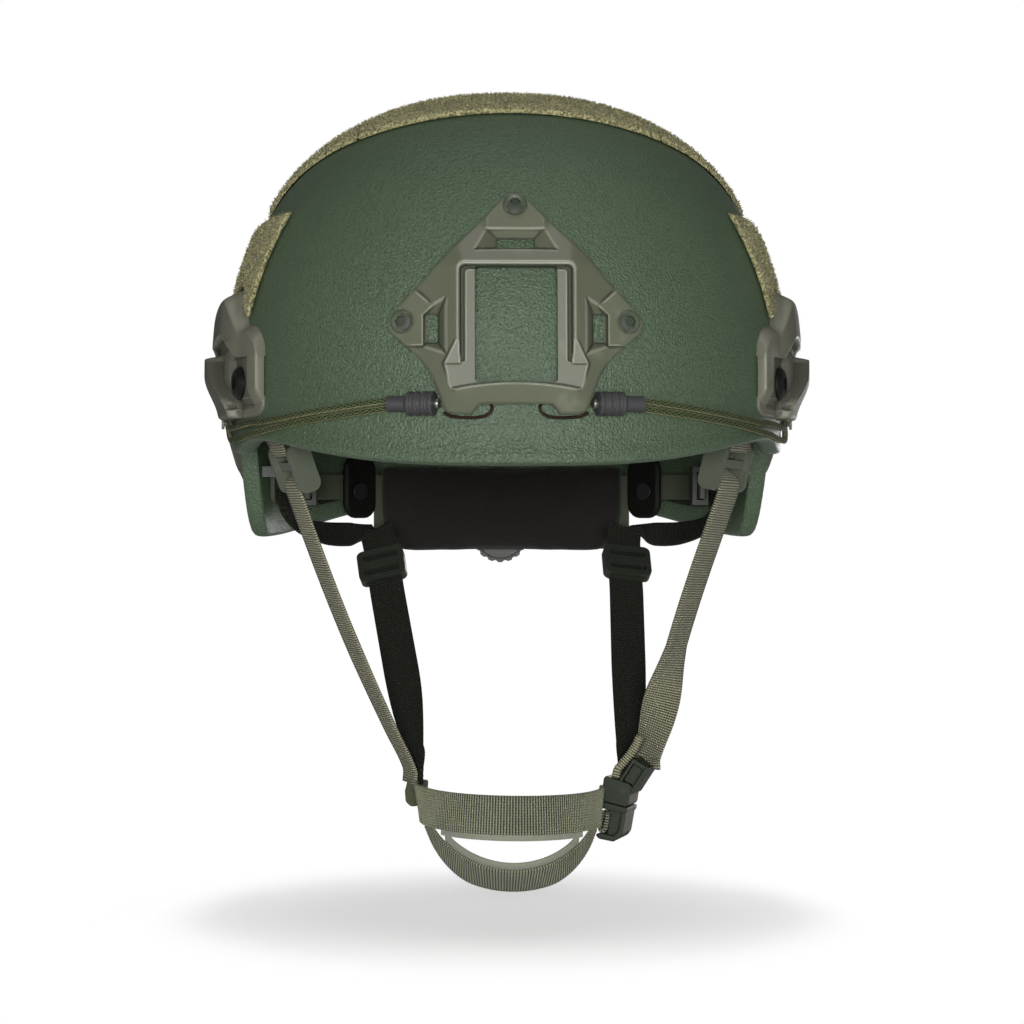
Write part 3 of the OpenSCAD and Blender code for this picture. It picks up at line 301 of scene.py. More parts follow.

# %% [markdown]
# The finishes. Each one reads the piece's own coordinates in metres, so its grain has a real size.
# The shell is sprayed with a thick paint that dries like orange peel, with bumps of about a millimetre.
# Real bumps would need millions of faces, so a noise drives the bump, and a little of the colour as well:
# its tops get a painted highlight and its pits painted shade.


# %% Painted shell
def shell_paint():
    p = Paint("shell_paint")
    where = p.place()
    peel = p.noise(1080, 1.5, 0.5, where)
    lumps = p.noise(420, 1.0, 0.5, where)
    broad = p.noise(9, 3.0, 0.5, where)
    colour = p.mix(broad, srgb(66, 84, 61), srgb(76, 94, 71))
    # Painted highlight on the tops of the peel, and on the next line painted shade in its pits
    colour = p.mix(peel.ramp(0.4, 0.68) * 0.45, colour, srgb(94, 112, 89))
    colour = p.mix((1.0 - peel).ramp(0.5, 0.7) * 0.4, colour, srgb(50, 66, 46))
    return p.set(
        Base_Color=colour,
        Roughness=0.40 + 0.1 * broad,
        Normal=p.bump(peel + lumps * 0.3, 0.00085, 0.9),
    ).material


# %% [markdown]
# Moulded nylon has a fine sparkle, a slightly cloudy tone and polished edges. Blender can find edges by
# itself, as Pointiness, but that changes with the fineness of the mesh. So the larger mouldings store an
# attribute called edge: above 0 on edges, which get a pale colour that is partly wear and partly a painted
# highlight, and below 0 in corners, which get painted shade and are rougher.


# %% Moulded plastics
def plastic(name, colour, rough=0.5, grain=0.00008, wear_and_highlight=None, edges=False, shine=0.5):
    p = Paint(name)
    where = p.place()
    fine = p.noise(2400, 2.0, 0.6, where)
    cloud = p.noise(38, 3.0, 0.6, where)
    tone = p.mix(cloud, toned(colour, 0.86), toned(colour, 1.14))
    if wear_and_highlight is not None:
        tone = p.mix(cloud.ramp(0.62, 0.72) * 0.25, tone, wear_and_highlight)
    # Edges above 0 get the pale colour, partly wear and partly painted highlight; corners below 0 get
    # painted shade
    if edges:
        turn = p.node("Attribute", {"attribute_name": "edge"}, out="Fac")
        tone = p.mix(turn.ramp(0.15, 1.0) * 0.6, tone, wear_and_highlight)
        shade = (turn * -1.0).ramp(0.1, 0.9)
        tone = p.mix(shade * 0.8, tone, toned(colour, 0.28))
        cloud = cloud + shade * 2.5
    return p.set(
        Specular_IOR_Level=shine,
        Base_Color=tone,
        Roughness=rough - 0.05 + 0.12 * cloud,
        Normal=p.bump(fine, grain, 0.8),
    ).material


# %% [markdown]
# The screws, nuts, crimp ends and wire hooks are steel. Real steel differs most in how clear its
# reflections are, so one noise of fine scratches changes the roughness and shades the colour a little.


# %% Metals
def metal(name, colour, rough, metallic=1.0, grain=0.00004):
    p = Paint(name)
    scratch = p.noise(900, 3.0, 0.7)
    return p.set(
        Base_Color=p.mix(scratch, toned(colour, 0.8), colour),
        Metallic=metallic,
        Roughness=rough - 0.06 + 0.14 * scratch,
        Normal=p.bump(scratch, grain, 0.5),
    ).material


# %% [markdown]
# Webbing is woven with thick cross threads, which show as ribs. A pattern fixed in space would run askew
# on a strap that turns, so this one reads the strap's UV map, which holds metres across and along it. A
# cosine along it makes the ribs and darkens the valleys between them as painted shade, a sine across it
# makes the yarns, and noise the fuzz.

# %% Webbing, with its ribs across the strip
def webbing_cloth(name, dark, light, pitch=0.0011, sheen=0.15):
    p = Paint(name)
    across, along = p.uv()
    rib = (along * (2 * math.pi / pitch)).of("COSINE")
    yarn = (across * (2 * math.pi / 0.0011) + rib * 0.8).of("SINE")
    fuzz = p.noise(1500, 3.0, 0.65)
    wear = p.noise(60, 3.0, 0.6)
    # The rib term also darkens the valleys between ribs: painted shade
    share = rib * 0.42 + yarn * 0.14 + fuzz * 0.5 + wear * 0.3 + 0.12
    tone = p.mix(share.ramp(0.0, 1.0), dark, light)
    return p.set(
        Base_Color=tone,
        Roughness=0.9 - 0.1 * fuzz,
        Sheen_Weight=sheen,
        Specular_IOR_Level=0.25,
        Normal=p.bump(rib * 0.7 + yarn * 0.3 + fuzz * 0.4, 0.0004, 1.0),
    ).material


# %% [markdown]
# The loop panels are a tangle of pale loops over a dark ground. The fibres themselves are real meshes,
# made further on. Their colour changes between the two in specks of a millimetre.


# %% Fuzzy loop pile
def loop_pile(name, base, tip):
    p = Paint(name)
    where = p.place()
    speck = p.noise(900, 4.0, 0.75, where)
    patch = p.noise(120, 3.0, 0.6, where)
    tone = p.mix((speck * 4.2 + patch * 0.5 - 1.95).of("MAXIMUM", 0.0), base, tip)
    return p.set(
        Base_Color=tone,
        Roughness=0.95,
        Sheen_Weight=0.1,
        Specular_IOR_Level=0.2,
        Normal=p.bump(speck, 0.0009, 1.0),
    ).material


# %% [markdown]
# Pads, linings and foam wear brushed knit. Its loops are small cells, and the nap over them is a finer
# noise. A touch of sheen lightens the cloth where it turns away, as short hairs do.


# %% Knit cloth and foam
def knit_cloth(name, dark, light, pitch=0.0011, sheen=0.3):
    p = Paint(name)
    where = p.place()
    loops = p.cells(1 / pitch, where)
    fuzz = p.noise(900, 4.0, 0.7, where)
    cloud = p.noise(30, 3.0, 0.6, where)
    tone = p.mix(fuzz * 0.6 + cloud * 0.4, dark, light)
    return p.set(
        Base_Color=tone,
        Roughness=0.92,
        Sheen_Weight=sheen,
        Specular_IOR_Level=0.25,
        Normal=p.bump(fuzz + loops * 0.8, 0.0003, 0.9),
    ).material

# %% [markdown]
# The bungee's cover is braided from green yarns with pale tracers. Two sines that run round the cord in
# opposite directions cross like the yarns, and the larger of the two is always the one on top.


# %% Braided elastic
def braid():
    p = Paint("bungee_braid")
    across, along = p.uv()
    turn = across * (2 * math.pi * 6)
    run = along * (2 * math.pi / 0.0032)
    left = (turn + run).of("SINE")
    right = (turn - run).of("SINE")
    weave = left.of("MAXIMUM", right)
    fleck = p.noise(700, 2.0, 0.6)
    tone = p.mix(weave.ramp(0.2, 0.95), srgb(34, 46, 28), srgb(94, 104, 70))
    tracer = (across * (2 * math.pi)).of("SINE").of("ABSOLUTE").ramp(0.62, 0.95)
    tone = p.mix(tracer * (fleck * 0.7 + weave.ramp(-0.2, 0.9) * 0.6), tone, srgb(172, 168, 126))
    return p.set(
        Base_Color=tone,
        Roughness=0.85,
        Specular_IOR_Level=0.25,
        Normal=p.bump(weave, 0.00035, 1.0),
    ).material

# %% [markdown]
# All the finishes by name. The part's record gives every piece a slot, and a slot's name is looked up
# here, so pieces that are made of the same stuff share one material.

# %% The set of finishes
FINISH = {
    "shell_paint": shell_paint(),
    "rail_polymer": plastic(
        "rail_polymer", srgb(112, 112, 97), 0.45, wear_and_highlight=srgb(146, 146, 132), edges=True
    ),
    "shroud_polymer": plastic(
        "shroud_polymer", srgb(94, 98, 79), 0.44, wear_and_highlight=srgb(146, 150, 132), edges=True
    ),
    "black_steel": metal("black_steel", srgb(34, 34, 34), 0.38, 0.6),
    "green_steel": plastic(
        "green_steel", srgb(80, 90, 72), 0.3, wear_and_highlight=srgb(140, 148, 130), edges=True, shine=0.7
    ),
    "plain_steel": metal("plain_steel", srgb(150, 150, 148), 0.4),
    "bright_steel": metal("bright_steel", srgb(190, 190, 186), 0.3),
    "dark_wire": metal("dark_wire", srgb(70, 56, 45), 0.3, 0.85),
    "bungee_braid": braid(),
    "black_rubber": plastic("black_rubber", srgb(58, 58, 60), 0.55, 0.0001),
    "loop_fabric": loop_pile("loop_fabric", srgb(76, 74, 40), srgb(208, 203, 152)),
    "pad_cloth": knit_cloth("pad_cloth", srgb(18, 17, 15), srgb(38, 36, 33), 0.0011, 0.15),
    "nape_foam": knit_cloth("nape_foam", srgb(16, 14, 12), srgb(32, 29, 26), 0.0006, 0.08),
    "band_polymer": plastic("band_polymer", srgb(64, 70, 54), 0.5),
    "dark_polymer": plastic("dark_polymer", srgb(40, 44, 36), 0.5),
    "wing_leather": plastic("wing_leather", srgb(8, 8, 6), 0.55, 0.0002, shine=0.15),
    "lock_polymer": plastic("lock_polymer", srgb(82, 88, 74), 0.34),
    "strap_green": webbing_cloth("strap_green", srgb(56, 56, 38), srgb(172, 170, 138)),
    "strap_dark": webbing_cloth("strap_dark", srgb(8, 10, 5), srgb(34, 38, 24), sheen=0.03),
    "chin_webbing": webbing_cloth("chin_webbing", srgb(40, 43, 27), srgb(160, 162, 134), 0.00118),
    "junction_cloth": knit_cloth("junction_cloth", srgb(44, 46, 30), srgb(96, 98, 76), 0.0009, 0.1),
    "lining_cloth": knit_cloth("lining_cloth", srgb(112, 117, 98), srgb(160, 163, 146), 0.0008),
    "buckle_polymer": plastic(
        "buckle_polymer", srgb(32, 41, 26), 0.48, wear_and_highlight=srgb(150, 147, 131), edges=True, shine=0.25
    ),
}
SLOT_OF = {s["node"]: s["material_slot"] for s in frame["record"]["subparts"]}
print("finishes:", len(FINISH))

# %% [markdown]
# A piece starts as a list of points and faces in metres. These helpers make the mesh, read and move its
# points, keep the edge attribute, and make sure that all faces look outwards.


# %% Mesh helpers
def mesh_object(name, points, faces, uvs=None):
    mesh = bpy.data.meshes.new(name)
    mesh.from_pydata([tuple(p) for p in points], [], [tuple(f) for f in faces])
    if uvs is not None:
        layer = mesh.uv_layers.new(name="strip")
        for loop in mesh.loops:
            layer.data[loop.index].uv = uvs[loop.vertex_index]
    mesh.update()
    return into_scene(name, mesh)


def coordinates(obj):
    return np.array([v.co for v in obj.data.vertices])


def move_points(obj, co):
    obj.data.vertices.foreach_set("co", co.ravel())


def store_edge(obj, values, domain="POINT"):
    """Keeps the edge attribute that the plastics read."""
    layer = obj.data.attributes.new("edge", "FLOAT", domain)
    layer.data.foreach_set("value", np.asarray(values, np.float32))


def clean_normals(obj, merge=1e-6):
    """Merges points closer than merge and turns all faces outwards."""
    work = bmesh.new()
    work.from_mesh(obj.data)
    if merge:
        bmesh.ops.remove_doubles(work, verts=work.verts, dist=merge)
    bmesh.ops.recalc_face_normals(work, faces=work.faces)
    work.to_mesh(obj.data)
    work.free()


def smooth_by_angle(obj, degrees=35):
    """Smooth shading, apart from edges sharper than an angle."""
    for polygon in obj.data.polygons:
        polygon.use_smooth = True
    obj.data.set_sharp_from_angle(angle=math.radians(degrees))


# %% [markdown]
# Modifiers round edges, cut holes and level the shading. They are always baked into the mesh at once,
# because the next step works on plain points and faces.


# %% Modifiers
def bake_modifiers(obj):
    """Turns the evaluated piece into a plain mesh and removes its modifiers."""
    graph = bpy.context.evaluated_depsgraph_get()
    result = bpy.data.meshes.new_from_object(obj.evaluated_get(graph))
    obj.modifiers.clear()
    obj.data = result
    return obj


def bevel(obj, width, segments=2, degrees=32):
    step = obj.modifiers.new("soft edges", "BEVEL")
    step.width = width
    step.segments = segments
    step.limit_method = "ANGLE"
    step.angle_limit = math.radians(degrees)
    step.harden_normals = False
    step.use_clamp_overlap = True
    bake_modifiers(obj)


def level_shading(obj):
    """Keeps the broad faces flat in the light, beside rounded edges."""
    smooth_by_angle(obj)
    obj.modifiers.new("level", "WEIGHTED_NORMAL").keep_sharp = True
    bake_modifiers(obj)


def cut(obj, cutter, operation="DIFFERENCE"):
    step = obj.modifiers.new("cut", "BOOLEAN")
    step.operation = operation
    step.solver = "EXACT"
    step.object = cutter
    bake_modifiers(obj)
    bpy.data.objects.remove(cutter)


def joined(name, parts):
    """One object from several."""
    work = bmesh.new()
    for part in parts:
        work.from_mesh(part.data)
        bpy.data.objects.remove(part)
    mesh = bpy.data.meshes.new(name)
    work.to_mesh(mesh)
    work.free()
    return into_scene(name, mesh)


# %% [markdown]
# Every finished piece sits at the origin with its place in its mesh. It rides on a body, hides the solids
# that it stands for, and takes its material from its slot in the record.


# %% Finishing a piece
def finish_piece(obj, body, nodes=(), slot=None):
    """Gives a piece its material and body, and hides the solids that it stands for."""
    slot = slot or SLOT_OF[nodes[0]]
    obj.data.materials.clear()
    obj.data.materials.append(FINISH[slot])
    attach(obj, body)
    if nodes:
        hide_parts(*nodes)


# %% [markdown]
# The shell's surface is one formula: a rounded plan, a dome over it, and a lower edge that rises over the
# ears and dips behind them. The solids were made from the same formula, so anything worked out here in
# millimetres lies exactly on them. An angle of 0 is the front, and 90 the helmet's +X side.

# %% The shell's surface
SHELL_W, SHELL_L, SHELL_H, SHELL_T = 243.0, 278.0, 164.0, 8.0
PLAN_POWER, PLAN_Y, EQUATOR = 2.15, 6.0, 40.0
FRONT_HALF, REAR_HALF, DOME = SHELL_L / 2 + PLAN_Y, SHELL_L / 2 - PLAN_Y, SHELL_H - EQUATOR
TEMPLE_RISE, EAR_RISE, LOBE_DROP, NAPE_DROP, BRIM_FLARE = 7.0, 24.0, 29.5, 11.0, 2.0
# What is fitted to the shell starts this far off it
SEAT = 0.5


def sin_d(a):
    return np.sin(np.radians(a))


def cos_d(a):
    return np.cos(np.radians(a))


def smooth(t):
    """A step from 0 to 1 with soft ends."""
    t = np.clip(t, 0, 1)
    return t * t * (3 - 2 * t)


def blend(a, b, share):
    return a * (1 - share) + b * share


def together(*values):
    """Numbers and arrays brought to one shape."""
    return np.broadcast_arrays(*[np.asarray(v, float) for v in values])


def plan_r(u, off):
    """The plan's radius at an angle."""
    half = np.where(cos_d(u) > 0, FRONT_HALF, REAR_HALF)
    return (
        (np.abs(sin_d(u)) / (SHELL_W / 2 + off)) ** PLAN_POWER
        + (np.abs(cos_d(u)) / (half + off)) ** PLAN_POWER
    ) ** (-1 / PLAN_POWER)


def dome_power(u):
    """How full the dome is at an angle: a circle would be 2."""
    return 2.1 + 0.2 * sin_d(u) ** 2


def edge_z(u):
    """The height of the shell's lower edge."""
    a = np.abs(u)
    return (
        (TEMPLE_RISE + 4.5) * smooth(a / 55) ** 1.8
        - 4.5 * smooth((a - 57) / 12)
        + EAR_RISE * smooth((a - 72) / 16)
        - (TEMPLE_RISE + EAR_RISE + LOBE_DROP) * smooth((a - 90) / 20)
        + (LOBE_DROP - NAPE_DROP) * smooth((a - 112) / 60)
    )


def skin(u, z, off):
    """Points off millimetres outside the shell, in millimetres. Angles and heights can be arrays."""
    u, z, off = together(u, z, off)
    n = dome_power(u)
    lifted = np.clip((z - EQUATOR) / (DOME + off), 0, 1)
    share = np.where(z <= EQUATOR, 1.0, (1 - lifted**n) ** (1 / n))
    flare = BRIM_FLARE * smooth((edge_z(u) + 10 - z) / 10) * smooth((62 - np.abs(u)) / 12)
    r = plan_r(u, off) * share + flare
    return np.stack([r * sin_d(u), PLAN_Y - r * cos_d(u), z], -1)


def skin_level(u, q, off):
    """The same surface by level: 90 is the crown, 0 the equator and -1 the lower edge."""
    u, q, off = together(u, q, off)
    n = dome_power(u)
    up = np.clip(q, 0, 90)
    rho = (np.abs(cos_d(up)) ** n + np.abs(sin_d(up)) ** n) ** (-1 / n)
    plan = plan_r(u, off)
    top = np.stack(
        [
            plan * rho * cos_d(up) * sin_d(u),
            PLAN_Y - plan * rho * cos_d(up) * cos_d(u),
            EQUATOR + (DOME + off) * rho * sin_d(up),
        ],
        -1,
    )
    low = skin(u, EQUATOR + np.minimum(q, 0) * (EQUATOR - edge_z(u)), off)
    return np.where((q >= 0)[..., None], top, low)


def skin_over(x, y, off):
    """The same surface over points of the plan."""
    x, y, off = together(x, y, off)
    u = np.degrees(np.arctan2(x, PLAN_Y - y))
    n = dome_power(u)
    rho = np.minimum(0.999, np.hypot(x, y - PLAN_Y) / plan_r(u, off))
    return np.stack([x, y, EQUATOR + (DOME + off) * (1 - rho**n) ** (1 / n)], -1)


def skin_normal(u, z):
    across = skin(np.asarray(u, float) + 1, z, 0) - skin(np.asarray(u, float) - 1, z, 0)
    up = skin(u, np.asarray(z, float) + 1, 0) - skin(u, np.asarray(z, float) - 1, 0)
    n = np.cross(across, up)
    return n / np.linalg.norm(n, axis=-1, keepdims=True)


def skin_along(u, z):
    """The level direction round the shell at a point."""
    d = skin(u + 1.0, z, 0) - skin(u - 1.0, z, 0)
    n = skin_normal(u, z)
    d = d - n * (d @ n)
    return d / np.linalg.norm(d)


print("shell at the front:", skin(0, EQUATOR, 0).round(2).tolist())

# %% [markdown]
# The shell, rails, shroud and panels are grids of points laid on that surface. A grid has to be given its
# faces, and a wall needs a second grid behind it and a band of faces round the rim.


# %% Grids and walls
def grid_faces(rows, cols, start=0, closed=False, flip=False):
    """The faces between the points of a grid, which are numbered row by row."""
    faces = []
    for i in range(rows - 1):
        for j in range(cols if closed else cols - 1):
            k = (j + 1) % cols
            face = (
                start + i * cols + j,
                start + i * cols + k,
                start + (i + 1) * cols + k,
                start + (i + 1) * cols + j,
            )
            faces.append(face[::-1] if flip else face)
    return faces


def rim_pairs(rows, cols):
    """Each pair of neighbouring points round the rim of a grid."""
    ids = list(range(cols))
    ids += [i * cols + cols - 1 for i in range(1, rows)]
    ids += [(rows - 1) * cols + j for j in range(cols - 2, -1, -1)]
    ids += [i * cols for i in range(rows - 2, 0, -1)]
    return list(zip(ids, ids[1:] + ids[:1]))


def two_sided(outer, inner, turned=False):
    """Points and faces of a wall between two grids of points."""
    rows, cols = outer.shape[:2]
    count = rows * cols
    points = np.concatenate([outer.reshape(-1, 3), inner.reshape(-1, 3)]) * MM
    faces = grid_faces(rows, cols) + grid_faces(rows, cols, count, flip=True)
    for a, b in rim_pairs(rows, cols):
        faces.append((a, b, b + count, a + count) if turned else (a, a + count, b + count, b))
    return points, faces


def turn_of(height):
    """How sharply a grid of heights turns at each inner point: above 0 on ridges, below 0 in valleys."""
    turn = np.zeros_like(height)
    turn[1:-1, 1:-1] = 4 * height[1:-1, 1:-1] - height[2:, 1:-1] - height[:-2, 1:-1]
    turn[1:-1, 1:-1] -= height[1:-1, 2:]
    turn[1:-1, 1:-1] -= height[1:-1, :-2]
    return turn


# %% [markdown]
# The shell is a thick bowl. It could be a sphere pushed into shape, but the lower edge would stay
# ragged. A grid of angles and levels follows the formula instead, runs round the rim with a rounded lip,
# and comes back as the inner wall, so the paint has a real edge to catch the light.

# %% Shell
SHELL_STEP = 1.5
shell_u = np.arange(0, 360, SHELL_STEP)
shell_u = np.where(shell_u > 180, shell_u - 360, shell_u)
wall_q = np.concatenate([np.linspace(88, 4, 30), np.linspace(0, -0.8, 12), [-0.88]])


def lip_ring(turn):
    """The rounded lip between outer and inner wall, turn degrees round it."""
    room = np.minimum(2.4, 0.05 * (EQUATOR - edge_z(shell_u)))
    height = edge_z(shell_u) + room * (1 - sin_d(turn))
    return skin(shell_u, height, -SHELL_T / 2 + SHELL_T / 2 * cos_d(turn))


shell_rings = [skin_level(shell_u, q, 0) for q in wall_q]
shell_rings += [lip_ring(turn) for turn in np.linspace(0, 180, 9)]
shell_rings += [skin_level(shell_u, q, -SHELL_T) for q in wall_q[::-1]]
shell_points = list(np.concatenate(shell_rings) * MM)
shell_faces = grid_faces(len(shell_rings), len(shell_u), closed=True)
for ring, off, flip in ((0, 0, False), (len(shell_rings) - 1, -SHELL_T, True)):
    crown = len(shell_points)
    shell_points.append(skin_level(0, 90, off) * MM)
    for j in range(len(shell_u)):
        a = ring * len(shell_u) + j
        b = ring * len(shell_u) + (j + 1) % len(shell_u)
        shell_faces.append((crown, a, b) if flip else (crown, b, a))
shell_piece = mesh_object("shell_painted", shell_points, shell_faces)
clean_normals(shell_piece)
smooth_by_angle(shell_piece, 60)
finish_piece(shell_piece, "helmet", ["shell"])
print("shell faces:", len(shell_faces))

# %% [markdown]
# The small rigid parts already have the right shape as solids. Real mouldings have no knife edges, so
# each gets a copy with its edges rounded by a bevel. The list gives the bevel's width in millimetres.


# %% Small rigid parts
def softened_copy(node, width, body):
    """A copy of a rigid solid with rounded edges."""
    copy = into_scene(node + "_moulded", frame["nodes"][node].data.copy())
    work = bmesh.new()
    work.from_mesh(copy.data)
    bmesh.ops.remove_doubles(work, verts=work.verts, dist=2e-6)
    bmesh.ops.dissolve_limit(work, angle_limit=math.radians(4), verts=work.verts, edges=work.edges)
    work.to_mesh(copy.data)
    work.free()
    bevel(copy, width * MM)
    level_shading(copy)
    finish_piece(copy, body, [node])


SMALL_PARTS = [
    ("rail_nuts", 0.2, "helmet"),
    ("shroud_nuts", 0.2, "helmet"),
    ("bungee_posts", 0.25, "helmet"),
    ("hook_ferrules", 0.2, "helmet"),
    ("fit_band", 0.4, "nape_unit"),
    ("dial_housing", 0.8, "nape_unit"),
    ("fit_dial", 0.7, "dial"),
    ("dial_shaft", 0.2, "dial"),
    ("side_wing_left", 0.5, "nape_unit"),
    ("side_wing_right", 0.5, "nape_unit"),
    ("wing_screws", 0.35, "nape_unit"),
    ("band_guide_left", 0.6, "helmet"),
    ("band_guide_right", 0.6, "helmet"),
    ("strap_anchors", 0.4, "helmet"),
    ("ladder_lock_left", 0.6, "helmet"),
    ("ladder_lock_right", 0.6, "helmet"),
    ("rear_slider_left", 0.5, "rear_slider_left"),
    ("rear_slider_right", 0.5, "rear_slider_right"),
    ("rail_screws", 0.3, "helmet"),
    ("shroud_screws", 0.15, "helmet"),
    ("hook_sleeve_left", 0.25, "helmet"),
    ("hook_sleeve_right", 0.25, "helmet"),
    ("hook_left", 0.01, "helmet"),
    ("hook_right", 0.01, "helmet"),
]
for part, width, body in SMALL_PARTS:
    softened_copy(part, width, body)
print("small parts:", len(SMALL_PARTS))

# %% [markdown]
# The photograph has the shroud's screws a little further in than the solids, and their sockets are dark.
# The points of the finished mesh are moved, and the edge attribute is set below 0 inside each socket,
# which paints shade into it.

# %% Shroud screws
TOP_SCREW_DOWN, TOP_SCREW_FORWARD, SIDE_SCREW_IN, SOCKET_R = 2.3, 1.1, 1.2, 3.4
screws = bpy.data.objects["shroud_screws_moulded"]
co = coordinates(screws) / MM
on_top = co[:, 2] > 85
at_right = ~on_top & (co[:, 0] > 0)
middle = [co[group][:, [0, 2]].mean(0) for group in (on_top, at_right)]
from_top = np.hypot(co[:, 0], co[:, 2] - middle[0][1])
from_side = np.hypot(abs(co[:, 0]) - middle[1][0], co[:, 2] - middle[1][1])
# Painted shade inside each socket
store_edge(screws, np.where(np.where(on_top, from_top, from_side) < SOCKET_R, -1.0, 0.0))
co[:, 2] -= TOP_SCREW_DOWN * on_top
co[:, 1] -= TOP_SCREW_FORWARD * on_top
co[:, 0] -= SIDE_SCREW_IN * np.sign(co[:, 0]) * ~on_top
move_points(screws, co * MM)
print("screw middles before the move:", np.round(middle, 2).tolist())

# %% [markdown]
# Straps and the shroud's flared sides follow smooth paths through a few measured points. Blender's own
# curves would give the path, but a strap also needs its sideways direction at every step. So this is a
# spline in plain numbers, whose slope at a point comes from its neighbours.


# %% Curves through points
def spline(points, step):
    """A smooth path through points, with a point every step, and the share of each input point."""
    points = np.asarray(points, float)
    n = len(points)
    dense, share = [], []
    for i in range(n - 1):
        p0 = points[max(i - 1, 0)]
        p1, p2 = points[i], points[i + 1]
        p3 = points[min(i + 2, n - 1)]
        size = np.linalg.norm(p2 - p1)
        m1 = (p2 - p0) * size / (size + np.linalg.norm(p1 - p0) + 1e-9)
        m2 = (p3 - p1) * size / (np.linalg.norm(p3 - p2) + size + 1e-9)
        count = max(2, int(size / step))
        for k in range(count + (i == n - 2)):
            t = k / count
            h = (2 * t**3 - 3 * t**2 + 1, t**3 - 2 * t**2 + t, -2 * t**3 + 3 * t**2, t**3 - t**2)
            dense.append(h[0] * p1 + h[1] * m1 + h[2] * p2 + h[3] * m2)
            share.append(i + t)
    return np.array(dense), np.array(share)


# %% [markdown]
# The front shroud is a plate of moulded nylon that carries a bracket for a night sight. Its outline is
# drawn in the front view, in millimetres: arcs round the three screws, flared sides and a narrow foot.

# %% Shroud outline
SHROUD_SCREW_X, SHROUD_SCREW_Z, SHROUD_TOP = 43.8, 55.5, 102.5


def arc(cx, cz, r, a0, a1, count=14):
    turns = [math.radians(a) for a in np.linspace(a0, a1, count)]
    return [(cx + r * math.cos(a), cz + r * math.sin(a)) for a in turns]


def shroud_shape():
    """The outline's corner points in the front view, anticlockwise from the top."""
    flare = spline(
        [
            (47.0, 50.2, 0),
            (42.3, 46.0, 0),
            (37.2, 41.3, 0),
            (33.4, 36.0, 0),
            (30.6, 29.8, 0),
            (28.6, 24.0, 0),
            (27.4, 21.4, 0),
        ],
        0.8,
    )[0]
    right = arc(0, SHROUD_TOP, 5.7, 90, 44) + arc(SHROUD_SCREW_X, SHROUD_SCREW_Z, 6.1, 46, -56)
    right += [(float(q[0]), float(q[1])) for q in flare[1:]]
    right += [(26.3, 20.5), (24.5, 20.1), (17.6, 19.9), (16.8, 20.3), (14.4, 23.3), (13.6, 23.7)]
    left = [(-x, z) for x, z in right[::-1]]
    return right + left[:-1]


def pill_shape(cx, cz, w, h, r):
    """A rectangle with rounded corners, or a round hole."""
    points = []
    for sx, sz, a in ((1, 1, 0), (-1, 1, 90), (-1, -1, 180), (1, -1, 270)):
        for k in range(5):
            t = math.radians(a + 22.5 * k)
            x, z = cx + sx * (w / 2 - r), cz + sz * (h / 2 - r)
            points.append((x + r * math.cos(t), z + r * math.sin(t)))
    return points


def prism(name, shape, y0=-175, y1=-95):
    """A solid over an area of the front view, from y0 to y1."""
    n = len(shape)
    points = [(x, y0, z) for x, z in shape] + [(x, y1, z) for x, z in shape]
    faces = [tuple(range(n)), tuple(range(2 * n - 1, n - 1, -1))]
    faces += [(k, k + n, (k + 1) % n + n, (k + 1) % n) for k in range(n)]
    made = mesh_object(name, np.array(points) * MM, faces)
    clean_normals(made)
    return made


def edge_distance(x, z, shape):
    """Distance from each point to the outline's edge."""
    best = np.full(x.shape, 1e9)
    for (ax, az), (bx, bz) in zip(shape, shape[1:] + shape[:1]):
        dx, dz = bx - ax, bz - az
        t = np.clip(((x - ax) * dx + (z - az) * dz) / (dx * dx + dz * dz + 1e-12), 0, 1)
        best = np.minimum(best, np.hypot(x - ax - t * dx, z - az - t * dz))
    return best


def box_outside(x, z, x0, x1, z0, z1, r=0.0):
    """Distance outside a rectangle with rounded corners, negative inside it."""
    dx = np.abs(x - (x0 + x1) / 2) - (x1 - x0) / 2 + r
    dz = np.abs(z - (z0 + z1) / 2) - (z1 - z0) / 2 + r
    return np.hypot(np.maximum(dx, 0), np.maximum(dz, 0)) + np.minimum(np.maximum(dx, dz), 0) - r


shroud_outline = shroud_shape()
print("outline points:", len(shroud_outline))

# %% [markdown]
# The shroud has ramps, a scoop over its latch slot, bosses round its screws and a recess between two
# rims. Boxes joined together would leave hard steps. As all of it faces forwards, it is a relief
# instead: a fine grid over the front of the shell, pushed out by a height that sums the forms. The values
# are millimetres in the front view and towards the front.

# %% Shroud relief
SEAT_Y, SHROUD_MID, SHROUD_LEAN, SCREW_SEAT = -144.0, 57.0, 6.0, 4.3
STRIP_IN, STRIP_OUT, GROOVE_OUT, CREST_X, CREST_Z, RIM = 16.0, 19.7, 21.8, 22.8, 79.0, 2.8
FOOT_Z, GROOVE_DEEP, BAR_RISE, RELIEF_STEP = 39.3, 1.3, 0.9, 0.4


def front_y(x, z, off):
    """How far back the surface off millimetres outside the shell lies at a point of the front view."""
    u = np.degrees(np.arcsin(np.clip(x / 145, -1, 1)))
    for _ in range(6):
        r = np.hypot(skin(u, z, off)[..., 0], skin(u, z, off)[..., 1] - PLAN_Y)
        u = np.degrees(np.arcsin(np.clip(x / r, -0.9, 0.9)))
    return skin(u, z, off)[..., 1]


def soft_min(a, b, k=0.6):
    """The lower of two heights, with a rounded meeting line."""
    near = np.maximum(k - np.abs(a - b), 0) / k
    return np.minimum(a, b) - near * near * k / 4


def soft_max(a, b, k=0.6):
    return -soft_min(-a, -b, k)


def tangent_level(x, z, cx, cz, off):
    """Height of the flat seat that touches the offset surface at one point."""
    spot = np.array([cx, cx + 1.0, cx]), np.array([cz, cz, cz + 1.0])
    h = -front_y(spot[0], spot[1], off)
    return h[0] + (h[1] - h[0]) * (x - cx) + (h[2] - h[0]) * (z - cz)


